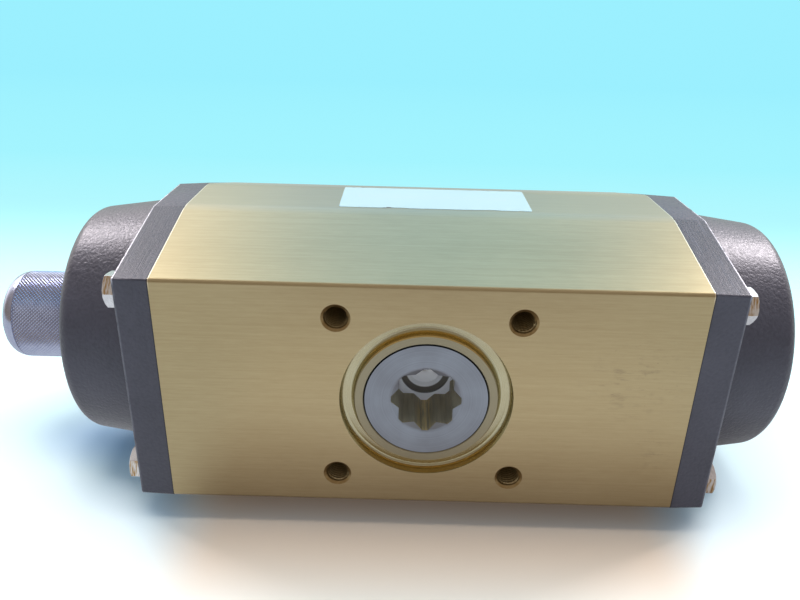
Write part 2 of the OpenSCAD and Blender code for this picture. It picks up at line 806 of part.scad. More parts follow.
module pinion_seal_front() { journal_seal(front_seal_r, seal_front_y); }
module pinion_seal_rear() { journal_seal(rear_seal_r, seal_rear_y); }

module thrust_ring_inner() {
    color(plastic) at_pinion(shoulder_y + run_gap) ring(rear_r + thrust_gap, shaft_r, thrust_t);
}

module thrust_washer() {
    color(plastic) at_pinion(body_depth) ring(top_r + washer_gap, washer_r, thrust_t);
}

module support_washer() {
    color(bright) at_pinion(body_depth + thrust_t + run_gap)
        ring(top_r + washer_gap, washer_r - support_step, washer_t);
}

// The open ring in the accessory shaft's groove, with a lug for the pliers at each end
module snap_ring() {
    lug = [top_r + lug_out, snap_opening / 2 + lug_r];
    color(spring_steel) at_pinion(snap_y + run_gap) difference() {
        union() {
            ring(top_r - snap_depth + run_gap, top_r + snap_rim, snap_t);
            for (s = [-1, 1])
                translate([lug.x, s * lug.y, 0]) cylinder(r = lug_r, h = snap_t, $fn = 32);
        }
        translate([0, -snap_opening / 2, -eps])
            cube([top_r + snap_rim + lug_r, snap_opening, snap_t + 2 * eps]);
        for (s = [-1, 1])
            translate([lug.x, s * lug.y, -eps]) cylinder(r = lug_hole_r, h = snap_t + 2 * eps, $fn = 24);
    }
}

// Head of a piston, turned round the bore's axis, from its inner face outwards
module piston_head() {
    back = piston_t;
    floor_z = back - pocket_depth;
    outline = [
        [0, 0], [head_r - piston_lead, 0], [head_r, piston_lead],
        [head_r, band_x], [head_r - band_t, band_x],
        [head_r - band_t, band_x + band_len], [head_r, band_x + band_len],
        [head_r, seal_x], [piston_seal_r - seal_room, seal_x],
        [piston_seal_r - seal_room, seal_x + seal_groove], [head_r, seal_x + seal_groove],
        [head_r, back - piston_lead], [head_r - piston_lead, back],
        [pocket_r, back], [pocket_r, floor_z], [ridge_out, floor_z], [ridge_out, floor_z + ridge_h],
        [ridge_in, floor_z + ridge_h], [ridge_in, floor_z], [hub_r, floor_z], [hub_r, back], [0, back]
    ];
    rotate_extrude() polygon(outline);
}

// Side view of a rack from the piston's inner face: x runs away from the head, y away from the pinion
module rack_outline() {
    half_pitch = (tooth_pitch / 2 - backlash) / 2;
    lean = tan(gear_angle);
    root = pitch_r + rack_dedendum;
    crest = pitch_r - rack_addendum;
    last = floor((rack_reach - half_pitch) / tooth_pitch);
    first = ceil(0.8 - rack_cut / tooth_pitch);
    teeth = [
        for (k = [first:last])
            let (x = piston_in + k * tooth_pitch, wide = half_pitch + rack_dedendum * lean,
                 narrow = half_pitch - rack_addendum * lean)
            each [[x - wide, root], [x - narrow, crest], [x + narrow, crest], [x + wide, root]]
    ];
    polygon(concat(
        [[-eps, bore_r], [-eps, root_r - gusset_rise],
         [piston_in - rack_cut - gusset_len, root - gusset_rise], [piston_in - rack_cut, root]],
        teeth,
        [[piston_in + rack_reach, root], [piston_in + rack_reach, bore_r]]
    ));
}

// The rack with its rounded back and the seat of its pad's peg, from the piston's inner face
module rack_arm() {
    difference() {
        intersection() {
            rotate([90, 0, 0]) translate([0, 0, -rack_w / 2]) linear_extrude(rack_w) rack_outline();
            translate([-2 * eps, 0, 0]) rotate([0, 90, 0])
                cylinder(r = arm_r, h = piston_in + rack_reach + 3 * eps);
        }
        translate([piston_in + rack_reach - pad_end - pad_len / 2, 0, arm_r - pad_peg_len - pad_peg_room])
            cylinder(r = pad_peg_r + run_gap, h = pad_peg_len + 2 * eps, $fn = 32);
    }
}

// Places what belongs to a piston: drawn with +X into the cylinder and its rack above
module at_piston(side) {
    translate([side * piston_in, axis_y, 0]) rotate([0, side < 0 ? 0 : 180, 0]) children();
}

module piston(side) {
    color(cast) at_piston(side) {
        union() {
            rotate([0, -90, 0]) piston_head();
            rack_arm();
        }
    }
}

module piston_left() { piston(-1); }
module piston_right() { piston(1); }

module piston_seal(side) {
    color(rubber) at_piston(side) translate([-seal_x - seal_groove / 2, 0, 0]) rotate([0, -90, 0])
        seal(piston_seal_r - seal_d / 2, seal_d);
}

module piston_seal_left() { piston_seal(-1); }
module piston_seal_right() { piston_seal(1); }

module piston_band(side) {
    color(plastic) at_piston(side) translate([-band_x - run_gap, 0, 0]) rotate([0, -90, 0])
        ring(head_r - band_t + run_gap, bore_r - slide_gap, band_len - 2 * run_gap);
}

module piston_band_left() { piston_band(-1); }
module piston_band_right() { piston_band(1); }

// The pad that carries a rack's free end on the bore's wall
module rack_pad(side) {
    x0 = piston_in + rack_reach - pad_end - pad_len;
    color(plastic) at_piston(side) union() {
        intersection() {
            translate([x0, 0, 0]) rotate([0, 90, 0])
                ring(arm_r + run_gap, bore_r - slide_gap, pad_len);
            translate([x0 - eps, -pad_w / 2, 0]) cube([pad_len + 2 * eps, pad_w, bore_r]);
        }
        translate([x0 + pad_len / 2, 0, arm_r - pad_peg_len])
            cylinder(r = pad_peg_r, h = pad_peg_len + 1, $fn = 32);
    }
}

module rack_pad_left() { rack_pad(-1); }
module rack_pad_right() { rack_pad(1); }

module spring(side, mean_r, wire, turns) {
    color(spring_steel) at_end(side, spring_seat_in + run_gap)
        coil(mean_r, wire, turns, spring_seat_out - spring_seat_in - 2 * run_gap);
}

module spring_outer_left() { spring(-1, outer_mean_r, outer_wire, outer_turns); }
module spring_outer_right() { spring(1, outer_mean_r, outer_wire, outer_turns); }
module spring_inner_left() { spring(-1, inner_mean_r, inner_wire, inner_turns); }
module spring_inner_right() { spring(1, inner_mean_r, inner_wire, inner_turns); }

// The threaded bush in the left cap, with a collar inside and a groove for the screw's seal
module stop_bush() {
    length = drum_face - bush_in;
    color(steel) at_end(-1, bush_in) difference() {
        union() {
            cylinder(r = bush_r, h = length);
            cylinder(r = bush_r + collar_step, h = collar_t - run_gap);
        }
        translate([0, 0, -eps]) cylinder(r = neck_r + run_gap, h = length + 2 * eps);
        translate([0, 0, length - stop_seal_in])
            cylinder(r = neck_r + run_gap + small_seal_d + seat_gap, h = small_seal_d + 2 * groove_side);
    }
}

module stop_seal() {
    color(rubber) at_end(-1, drum_face - stop_seal_in + small_seal_d / 2 + groove_side)
        seal(neck_r + run_gap + small_seal_d / 2, small_seal_d);
}

// The stop screw, with its pin in the foot and its threaded end in the knob
module stop_screw() {
    start = foot_face + foot_t + 2 * run_gap;
    color(bright) at_end(-1, start) difference() {
        union() {
            translate([0, 0, -foot_pin_len]) cylinder(r = foot_pin_r, h = foot_pin_len + eps, $fn = 48);
            cylinder(r1 = neck_r - screw_lead, r2 = neck_r, h = screw_lead);
            translate([0, 0, screw_lead - lap])
                cylinder(r = neck_r, h = screw_end - start - screw_lead + lap);
        }
        translate([0, 0, screw_end - start - knob_screw_len])
            cylinder(r = knob_screw_r + run_gap, h = knob_screw_len + eps, $fn = 32);
    }
}

// The swivel foot that the piston's hub would meet
module stop_foot() {
    color(steel) at_end(-1, foot_face) difference() {
        union() {
            cylinder(r1 = foot_r - foot_lead, r2 = foot_r, h = foot_lead);
            translate([0, 0, foot_lead - lap])
                cylinder(r = foot_r, h = foot_t - 2 * foot_lead + 2 * lap);
            translate([0, 0, foot_t - foot_lead])
                cylinder(r1 = foot_r, r2 = foot_r - foot_lead, h = foot_lead);
        }
        translate([0, 0, foot_t - foot_pin_len])
            cylinder(r = foot_pin_r + run_gap, h = foot_pin_len + eps, $fn = 48);
    }
}

// The hand knob: plain band, grip with a rounded rim, a cup for its screw and a recess over the bush
module stop_knob() {
    grip = [knob_r, knob_band + knob_band_step];
    rim = [knob_r, knob_len];
    outline = concat(
        [[0, 0], [knob_r - knob_band_step - knob_edge, 0], [knob_r - knob_band_step, knob_edge],
         [knob_r - knob_band_step, knob_band], grip],
        corner_arc(grip, rim, [0, knob_len], knob_round, 12),
        [[0, knob_len]]
    );
    bore_len = screw_end - knob_in + run_gap;
    color(knob_blue) at_end(-1, knob_in) difference() {
        rotate_extrude() polygon(outline);
        translate([0, 0, -eps]) cylinder(r = knob_recess_r, h = knob_recess + eps);
        translate([0, 0, -eps]) cylinder(r = neck_r + run_gap, h = bore_len + eps);
        cylinder(r = knob_screw_r + knob_screw_gap, h = knob_len - cup_depth + eps, $fn = 32);
        translate([0, 0, knob_len - cup_depth]) cylinder(r = cup_r, h = cup_depth + eps, $fn = 48);
    }
}

// The socket screw that holds the knob to the stop screw
module knob_screw() {
    seat = knob_out - cup_depth + run_gap;
    color(bright) at_end(-1, seat) difference() {
        union() {
            cylinder(r = knob_screw_head_r, h = knob_screw_head_h, $fn = 48);
            translate([0, 0, -knob_screw_len])
                cylinder(r = knob_screw_r, h = knob_screw_len + eps, $fn = 32);
        }
        translate([0, 0, knob_screw_head_h - knob_screw_hex_depth])
            cylinder(r = knob_screw_hex / 2 / cos(30), h = knob_screw_hex_depth + eps, $fn = 6);
    }
}

// The adhesive label on the top flat
module label() {
    a = [label_len / 2, label_w / 2];
    outline = rounded([[-a.x, -a.y], [a.x, -a.y], [a.x, a.y], [-a.x, a.y]], label_corner);
    color(paper) translate([label_x, axis_y + label_shift, half_h])
        linear_extrude(label_t) polygon(outline);
}

body();
end_cap_left();
end_cap_right();
cap_bolts_left();
cap_bolts_right();
cap_seal_left();
cap_seal_right();
passage_seal_left();
passage_seal_right();
pinion();
bearing_front();
bearing_rear();
pinion_seal_front();
pinion_seal_rear();
thrust_ring_inner();
thrust_washer();
support_washer();
snap_ring();
piston_left();
piston_right();
piston_seal_left();
piston_seal_right();
piston_band_left();
piston_band_right();
rack_pad_left();
rack_pad_right();
spring_outer_left();
spring_outer_right();
spring_inner_left();
spring_inner_right();
stop_bush();
stop_seal();
stop_screw();
stop_foot();
stop_knob();
knob_screw();
label();
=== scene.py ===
import json
import math

import bpy
from mathutils import Matrix, Vector


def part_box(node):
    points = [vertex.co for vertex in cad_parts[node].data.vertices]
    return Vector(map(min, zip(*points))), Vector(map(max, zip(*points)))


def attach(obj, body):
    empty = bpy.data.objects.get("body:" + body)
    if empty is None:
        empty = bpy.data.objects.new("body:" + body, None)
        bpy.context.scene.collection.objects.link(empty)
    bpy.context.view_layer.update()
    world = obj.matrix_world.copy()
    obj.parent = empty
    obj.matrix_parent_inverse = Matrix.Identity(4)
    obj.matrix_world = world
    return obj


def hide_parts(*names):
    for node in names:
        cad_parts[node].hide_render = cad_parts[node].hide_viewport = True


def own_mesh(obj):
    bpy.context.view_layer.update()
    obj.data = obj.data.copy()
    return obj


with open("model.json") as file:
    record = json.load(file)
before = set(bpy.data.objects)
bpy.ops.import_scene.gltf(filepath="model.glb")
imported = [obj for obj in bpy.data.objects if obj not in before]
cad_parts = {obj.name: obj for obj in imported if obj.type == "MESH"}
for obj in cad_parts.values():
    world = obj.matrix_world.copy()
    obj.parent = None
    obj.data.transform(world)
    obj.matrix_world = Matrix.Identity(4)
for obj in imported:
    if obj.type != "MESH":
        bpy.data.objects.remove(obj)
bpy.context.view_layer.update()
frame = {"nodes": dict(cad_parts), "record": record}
cadNodes = frame["nodes"]
scene = bpy.context.scene
scene.view_settings.view_transform = "Standard"
print("frame loaded with", len(cadNodes), "CAD nodes")


# Camera, from the corners of the body in the photo

cameraSettings = {
    "place": (-0.01098, -0.24500, 0.15165),
    "pitch": 23.64,
    "yaw": 0.14,
    "roll": 1.48,
    "lens": 31.95,
    "sensor": 36.0,
}


def addCamera(s):
    pitch = math.radians(s["pitch"])
    yaw = math.radians(s["yaw"])
    roll = math.radians(s["roll"])
    ahead = Vector((-math.sin(yaw) * math.cos(pitch), math.cos(yaw) * math.cos(pitch), -math.sin(pitch)))
    right = Vector((math.cos(yaw), math.sin(yaw), 0))
    up = right.cross(ahead)
    across = right * math.cos(roll) + up * math.sin(roll)
    upright = up * math.cos(roll) - right * math.sin(roll)
    turn = Matrix((across, upright, -ahead)).transposed().to_4x4()
    bpy.ops.object.camera_add()
    camera = bpy.context.object
    camera.data.lens = s["lens"]
    camera.data.sensor_width = s["sensor"]
    camera.data.clip_start = 0.01
    camera.data.clip_end = 30
    camera.matrix_world = Matrix.Translation(s["place"]) @ turn
    scene.camera = camera


addCamera(cameraSettings)
print("camera placed")


# Finishes: a wire is one socket of a node tree, and sums of wires add Math nodes

class Wire:
    def __init__(self, tree, socket):
        self.tree = tree
        self.socket = socket

    def node(self, kind, settings=None, sockets=None, out=0):
        made = self.tree.nodes.new(kind)
        for name, value in (settings or {}).items():
            if name == "stops":
                fillRamp(made.color_ramp, value)
            else:
                setattr(made, name, value)
        for name, value in (sockets or {}).items():
            if isinstance(value, Wire):
                self.tree.links.new(value.socket, made.inputs[name])
            else:
                made.inputs[name].default_value = value
        return Wire(self.tree, made.outputs[out])

    def maths(self, operation, first, second=0.0):
        return self.node("ShaderNodeMath", {"operation": operation}, {0: first, 1: second})

    def __add__(self, other):
        return self.maths("ADD", self, other)

    def __radd__(self, other):
        return self.maths("ADD", other, self)

    def __sub__(self, other):
        return self.maths("SUBTRACT", self, other)

    def __rsub__(self, other):
        return self.maths("SUBTRACT", other, self)

    def __mul__(self, other):
        return self.maths("MULTIPLY", self, other)

    def __rmul__(self, other):
        return self.maths("MULTIPLY", other, self)

    def __truediv__(self, other):
        return self.maths("DIVIDE", self, other)

    def size(self):
        return self.maths("ABSOLUTE", self)

    def least(self, other):
        return self.maths("MINIMUM", self, other)

    def most(self, other):
        return self.maths("MAXIMUM", self, other)

    def rise(self, low, high):
        # 0 below low and 1 above high, or the other way round where low is the larger
        return self.node("ShaderNodeMapRange", {"interpolation_type": "SMOOTHSTEP"},
                         {"Value": self, "From Min": low, "From Max": high})

    def tint(self, first, second):
        # a colour between first and second, by this wire
        return self.node("ShaderNodeMix", {"data_type": "RGBA"}, {0: self, 6: first, 7: second}, 2)

    def stretched(self, factors):
        return self.node("ShaderNodeVectorMath", {"operation": "MULTIPLY"}, {0: self, 1: factors})

    def noise(self, factors, detail=2.0, roughness=0.5):
        sockets = {"Vector": self.stretched(factors), "Scale": 1.0, "Detail": detail, "Roughness": roughness}
        return self.node("ShaderNodeTexNoise", None, sockets)

    def cells(self, factors):
        return self.node("ShaderNodeTexVoronoi", None, {"Vector": self.stretched(factors), "Scale": 1.0})

    def split(self):
        parts = self.node("ShaderNodeSeparateXYZ", None, {0: self})
        return [Wire(self.tree, socket) for socket in parts.socket.node.outputs]

    def spot(self, centre, reach, soft=0.5):
        # 1 at centre, 0 past an ellipsoid of the given half sizes
        away = self.node("ShaderNodeVectorMath", {"operation": "SUBTRACT"}, {0: self, 1: centre})
        shares = away.stretched(tuple(1 / r for r in reach))
        far = self.node("ShaderNodeVectorMath", {"operation": "LENGTH"}, {0: shares}, 1)
        return far.rise(1.0, 1.0 - soft)


def fillRamp(ramp, stops):
    while len(ramp.elements) < len(stops):
        ramp.elements.new(1.0)
    for element, (place, colour) in zip(ramp.elements, stops):
        element.position = place
        element.color = (*colour, 1.0)


def rgb(colour):
    return (*colour, 1.0)


def startFinish(name):
    material = bpy.data.materials.new(name)
    material.use_nodes = True
    tree = material.node_tree
    tree.nodes.clear()
    place = Wire(tree, tree.nodes.new("ShaderNodeTexCoord").outputs["Object"])
    return material, place


def endFinish(material, place, colour, roughness, metallic=0.0, height=None, bump=(0.5, 0.0001), fixed=None):
    sockets = {"Base Color": colour, "Roughness": roughness, "Metallic": metallic}
    sockets.update(fixed or {})
    if height is not None:
        sockets["Normal"] = place.node("ShaderNodeBump", None,
                                       {"Height": height, "Strength": bump[0], "Distance": bump[1]})
    shader = place.node("ShaderNodeBsdfPrincipled", None, sockets)
    connectOutput(material, shader)
    return material


def connectOutput(material, shader):
    output = material.node_tree.nodes.new("ShaderNodeOutputMaterial")
    material.node_tree.links.new(shader.socket, output.inputs["Surface"])


goldSettings = {
    "pale": (0.520, 0.425, 0.235),
    "deep": (0.410, 0.315, 0.155),
    "smear": (0.170, 0.120, 0.070),
    "paintedEndHighlight": (0.95, 0.86, 0.66),
    "rimStart": 0.10605,
    "rimSoft": 0.0003,
    "rimHeight": (0.044, 0.052),
    "smears": [((0.083, 0.0, 0.012), (0.030, 0.02, 0.026), 1.0),
               ((0.094, 0.0, -0.022), (0.014, 0.02, 0.018), 0.8),
               ((-0.055, 0.0, -0.032), (0.020, 0.02, 0.006), 0.5)],
    "speckGrain": (520, 800, 800),
    "grain": (110, 1600, 1600),
    "broadGrain": (12, 1000, 1000),
    "roughness": 0.33,
    "bump": (0.35, 0.00003),
    "oxide": {"Coat Weight": 0.6, "Coat Roughness": 0.24, "Coat IOR": 1.6},
}


def goldAnodised(s):
    # an oxide with the drawing grain along the body, a painted highlight as a bright line at each end, and a
    # few smears
    material, place = startFinish("goldAnodised")
    x, _, z = place.split()
    grain = place.noise(s["grain"], 4.0, 0.7)
    broad = place.noise(s["broadGrain"], 2.0)
    cloud = place.noise((13, 22, 22), 3.0)
    tone = (grain - 0.5) * 0.9 + (broad - 0.5) * 0.6 + (cloud - 0.5) * 0.7 + 0.5
    colour = tone.rise(-0.1, 1.1).tint(rgb(s["deep"]), rgb(s["pale"]))
    # painted highlight: a bright line along the upper part of each end edge
    endHighlight = x.size().rise(s["rimStart"], s["rimStart"] + s["rimSoft"]) * z.rise(*s["rimHeight"])
    colour = endHighlight.tint(colour, rgb(s["paintedEndHighlight"]))
    smearArea = sum(place.spot(centre, reach, 0.8) * share for centre, reach, share in s["smears"]).least(1.0)
    smear = place.noise((110, 330, 330), 5.0, 0.7).rise(0.50, 0.70) * smearArea
    specks = place.noise(s["speckGrain"], 2.0).rise(0.68, 0.76) * smearArea
    dirt = (smear * 0.30 + specks * 0.35).least(1.0)
    colour = dirt.tint(colour, rgb(s["smear"]))
    roughness = s["roughness"] + (grain - 0.5) * 0.16 + (cloud - 0.5) * 0.10 + dirt * 0.15
    height = grain + broad * 0.5
    return endFinish(material, place, colour, roughness, 0.92, height, s["bump"], s["oxide"])


turnedGoldSettings = {
    "pale": (0.520, 0.500, 0.340),
    "deep": (0.440, 0.400, 0.230),
    "collar": (0.310, 0.280, 0.180),
    "wall": (0.640, 0.450, 0.140),
    "grooveInner": 0.0292,
    "grooveOuter": 0.0350,
    "wallReach": (0.0006, 0.0002),
    "pit": (0.16, 0.12, 0.05),
    "roughness": 0.20,
    "bump": (0.25, 0.00002),
    "oxide": {"Coat Weight": 0.6, "Coat Roughness": 0.12, "Coat IOR": 1.6},
}


def radiusFrom(place, centre, axis):
    # distance from a line through centre along the named row axis
    away = place.node("ShaderNodeVectorMath", {"operation": "SUBTRACT"}, {0: place, 1: centre})
    keep = {"x": (0, 1, 1), "y": (1, 0, 1), "z": (1, 1, 0)}[axis]
    return place.node("ShaderNodeVectorMath", {"operation": "LENGTH"}, {0: away.stretched(keep)}, 1)


def goldTurned(s):
    # lathe rings, a duller collar inside the groove, and a painted warm reflection on the groove's walls that
    # is deepest in colour above and below
    material, place = startFinish("goldTurned")
    _, y, z = place.split()
    r = radiusFrom(place, (0, 0, 0), "y")
    lathe = place.node("ShaderNodeTexNoise", {"noise_dimensions": "1D"},
                       {"W": r * 2600.0, "Scale": 1.0, "Detail": 3.0})
    cloud = place.noise((90, 90, 90), 2.0)
    colour = (lathe * 0.5 + cloud * 0.5).rise(0.2, 0.8).tint(rgb(s["deep"]), rgb(s["pale"]))
    collar = r.rise(s["grooveInner"], s["grooveInner"] - 0.0003)
    colour = collar.tint(colour, rgb(s["collar"]))
    # painted reflection: the groove's walls take a warm gold, strongest at the top and bottom of the ring
    innerWall = (r - s["grooveInner"]).size().rise(*s["wallReach"])
    outerWall = (r - s["grooveOuter"]).size().rise(*s["wallReach"])
    walls = innerWall.most(outerWall)
    walls = walls * y.rise(0.0002, 0.0008) * (z.size().rise(0.010, 0.028) * 0.8 + 0.2)
    colour = walls.tint(colour, rgb(s["wall"]))
    pits = place.cells((260, 260, 260)).rise(0.10, 0.04) * cloud.rise(0.55, 0.7)
    colour = pits.tint(colour, rgb(s["pit"]))
    roughness = s["roughness"] + lathe * 0.10 + collar * 0.12
    return endFinish(material, place, colour, roughness, 0.95, lathe, s["bump"], s["oxide"])


# a deeper, warmer gold for the tapped holes, painted to stand for the reflections of gold inside them
holeReflectionGoldSettings = {
    "pale": (0.460, 0.350, 0.180),
    "deep": (0.330, 0.230, 0.100),
    "roughness": 0.34,
}


coatingSettings = {
    "dark": (0.034, 0.032, 0.041),
    "light": (0.060, 0.056, 0.070),
    "worn": (0.62, 0.60, 0.64),
    "bare": (0.20, 0.22, 0.30),
    "rimStart": 0.1196,
    "rimEnd": 0.1205,
    "rimSoft": 0.0003,
    "rimHeight": (0.046, 0.0505),
    "seam": 0.1071,
    # the near-black of the chips and of the painted gap shadow at the seam
    "chipAndGapShadowColour": (0.006, 0.006, 0.008),
    "chips": [((-0.1600, 0.034, 0.030), (0.0022, 0.006, 0.0011)),
              ((-0.1600, 0.030, 0.024), (0.0016, 0.005, 0.0008)),
              ((0.1640, 0.040, 0.036), (0.0012, 0.004, 0.0010))],
    "slopeShade": 0.62,
    "roughness": 0.42,
    "bump": (0.80, 0.00038),
    "gloss": {"Specular IOR Level": 0.5, "Specular Tint": (0.88, 0.86, 1.0, 1.0), "Coat Weight": 0.26,
              "Coat Roughness": 0.34, "Coat IOR": 1.5},
}


def blackCoating(s, name, dressing):
    # dressing is how strongly a file or belt has marked the slopes; the slopes also carry painted shade,
    # which makes them darker than the rest
    material, place = startFinish(name)
    x, _, z = place.split()
    peel = place.noise((760, 760, 760), 1.5, 0.5)
    fine = place.noise((1700, 1700, 1700), 1.0)
    cloud = place.noise((30, 30, 30), 3.0)
    # painted shade: the slanted sides are darker than the rest
    depth = s["slopeShade"] if dressing else 1.0
    dark, light = (rgb([part * depth for part in s[key]]) for key in ("dark", "light"))
    colour = (cloud * 0.6 + peel * 0.4).rise(0.25, 0.75).tint(dark, light)
    height = peel * 0.9 + fine * 0.12
    roughness = s["roughness"] + (peel - 0.5) * 0.35 + (cloud - 0.5) * 0.1
    if dressing:
        scratch = place.noise((2400, 26, 26), 3.0, 0.65)
        height = peel * 0.5 + scratch * (1.6 * dressing)
        patches = place.noise((200, 60, 60), 2.0).rise(0.36, 0.60)
        worn = scratch.rise(0.52, 0.66) * patches * (0.28 * dressing)
        colour = worn.tint(colour, rgb(s["bare"]))
    away = x.size()
    soft = s["rimSoft"]
    rim = away.rise(s["rimStart"], s["rimStart"] + soft) * away.rise(s["rimEnd"], s["rimEnd"] - soft)
    broken = place.noise((300, 110, 110), 3.0, 0.7).rise(0.36, 0.50)
    upper = z.rise(*s["rimHeight"]) * 0.85 + 0.12
    rubbed = rim * broken * upper
    chips = sum(place.spot(centre, reach) for centre, reach in s["chips"]).least(1.0)
    colour = (rubbed * 0.85).tint(colour, rgb(s["worn"]))
    # dark chips, and a painted shadow in the gap along the seam next to the body
    chipsAndGapShadow = chips.most(away.rise(s["seam"], s["seam"] - soft))
    colour = chipsAndGapShadow.tint(colour, rgb(s["chipAndGapShadowColour"]))
    return endFinish(material, place, colour, roughness, rubbed * 0.5, height, s["bump"], s["gloss"])


steelSettings = {
    "pale": (0.86, 0.88, 0.92),
    "deep": (0.70, 0.71, 0.75),
    "roughness": 0.09,
}


def brightStainless(s):
    material, place = startFinish("brightStainless")
    cloud = place.noise((260, 260, 260), 3.0)
    marks = place.noise((2400, 500, 500), 2.0)
    colour = (cloud * 0.5 + marks * 0.5).rise(0.3, 0.7).tint(rgb(s["deep"]), rgb(s["pale"]))
    roughness = s["roughness"] + cloud * 0.10
    return endFinish(material, place, colour, roughness, 1.0, marks, (0.3, 0.00003))


pinionSettings = {
    "pale": (0.33, 0.38, 0.45),
    "deep": (0.26, 0.29, 0.34),
    "floor": (0.84, 0.83, 0.86),
    "recess": (0.110, 0.100, 0.085),
    "floorRadius": 0.0150,
    "floorStart": 0.0246,
    "floorEnd": 0.034,
    "recessRadii": (0.0080, 0.0110),
    "roughness": 0.36,
}


def platedSteel(s):
    # a turned end, and the socket's floor painted pale and less metallic as painted light, with painted shade
    # in its recess
    material, place = startFinish("platedSteel")
    y = place.split()[1]
    r = radiusFrom(place, (0, 0, 0), "y")
    lathe = place.node("ShaderNodeTexNoise", {"noise_dimensions": "1D"},
                       {"W": r * 1900.0, "Scale": 1.0, "Detail": 4.0})
    cloud = place.noise((60, 60, 60), 3.0)
    # painted light: the socket's floor is pale and scatters as if lit
    floor = r.rise(s["floorRadius"], s["floorRadius"] - 0.0002)
    floor = floor * y.rise(s["floorStart"] - 0.0003, s["floorStart"])
    floor = floor * y.rise(s["floorEnd"], s["floorEnd"] - 0.001)
    inner, outer = s["recessRadii"]
    # painted shade: a dark ring in the floor's recess
    recess = floor * r.rise(inner, inner + 0.0005) * r.rise(outer, outer - 0.0005)
    colour = (lathe * 0.35 + cloud * 0.65).rise(0.3, 0.7).tint(rgb(s["deep"]), rgb(s["pale"]))
    colour = floor.tint(colour, rgb(s["floor"]))
    colour = recess.tint(colour, rgb(s["recess"]))
    roughness = s["roughness"] + lathe * 0.12
    metallic = 1.0 - floor * 0.8
    return endFinish(material, place, colour, roughness, metallic, lathe, (0.25, 0.00003))


broachedSettings = {
    "pale": (0.400, 0.330, 0.215),
    "deep": (0.250, 0.210, 0.140),
    "warmReflection": (0.620, 0.440, 0.170),
    "warmWidth": (0.0042, 0.0012),
    "warmHeight": (-0.008, -0.010),
    "roughness": 0.46,
}


def broachedSteel(s):
    # the socket's walls: dull and brown, with a painted warm reflection along the lowest one
    material, place = startFinish("broachedSteel")
    x, _, z = place.split()
    streak = place.noise((900, 60, 900), 3.0)
    colour = streak.rise(0.1, 0.9).tint(rgb(s["deep"]), rgb(s["pale"]))
    # painted reflection: a warm run along the lowest wall, which faces up
    warmReflection = x.size().rise(*s["warmWidth"]) * z.rise(*s["warmHeight"]) * streak.rise(0.35, 0.60)
    colour = (warmReflection * 0.7).tint(colour, rgb(s["warmReflection"]))
    return endFinish(material, place, colour, s["roughness"] + streak * 0.1, 0.25, streak, (0.2, 0.00003))


reflectionStreakedSettings = {
    "pale": (0.80, 0.78, 0.76),
    "gold": (0.46, 0.29, 0.12),
    "roughness": 0.24,
}


def reflectionStreakedSteel(s):
    # the side flats of the bolt heads, with a painted reflection of gold in stripes round the head
    material, place = startFinish("reflectionStreakedSteel")
    streak = place.noise((1500, 160, 160), 3.0, 0.6)
    colour = streak.rise(0.40, 0.58).tint(rgb(s["gold"]), rgb(s["pale"]))
    return endFinish(material, place, colour, s["roughness"] + streak * 0.1, 0.9, streak, (0.2, 0.00003))


def plainMetal(name, pale, deep, roughness, grain=(700, 700, 700), metallic=1.0, bump=(0.3, 0.00004)):
    material, place = startFinish(name)
    marks = place.noise(grain, 3.0)
    cloud = place.noise((55, 55, 55), 2.0)
    colour = (marks * 0.5 + cloud * 0.5).rise(0.3, 0.7).tint(rgb(deep), rgb(pale))
    return endFinish(material, place, colour, roughness + marks * 0.15, metallic, marks, bump)


def plainPlastic(name, pale, deep, roughness, grain=(900, 900, 900), bump=(0.3, 0.00005)):
    return plainMetal(name, pale, deep, roughness, grain, 0.0, bump)


labelFilmSettings = {
    "pale": (0.36, 0.51, 0.53),
    "dull": (0.34, 0.49, 0.51),
    "mark": (0.10, 0.09, 0.08),
    "rule": (0.42, 0.50, 0.52),
    "marks": [((-0.0182, 0.0585, 0.0632), (0.0034, 0.0018, 0.002)),
              ((0.0194, 0.0572, 0.0632), (0.0024, 0.0014, 0.002)),
              ((-0.0306, 0.0925, 0.0632), (0.0022, 0.0012, 0.002)),
              ((-0.0104, 0.0935, 0.0632), (0.0026, 0.0012, 0.002))],
    "ruleBox": (-0.032, 0.036, 0.0755, 0.0785),
    "ruleHalf": 0.0002,
}


def labelFilm(s):
    # a pale film with nicked edges and one ruled box
    material, place = startFinish("labelFilm")
    x, y, _ = place.split()
    cloud = place.noise((40, 40, 40), 2.0)
    colour = cloud.tint(rgb(s["dull"]), rgb(s["pale"]))
    left, right, near, far = s["ruleBox"]
    half = s["ruleHalf"]

    def boxFrom(inset):
        across = x.rise(left + inset, left + inset + half) * x.rise(right - inset, right - inset - half)
        return across * y.rise(near + inset, near + inset + half) * y.rise(far - inset, far - inset - half)

    rule = (boxFrom(-half) - boxFrom(half)).most(0.0)
    colour = (rule * 0.6).tint(colour, rgb(s["rule"]))
    marks = cloud * 0.0
    for centre, reach in s["marks"]:
        marks = marks.most(place.spot(centre, reach, 0.5))
    marks = marks * place.noise((900, 900, 900), 2.0).rise(0.38, 0.52)
    colour = marks.tint(colour, rgb(s["mark"]))
    return endFinish(material, place, colour, 0.42 + cloud * 0.1, 0.0)


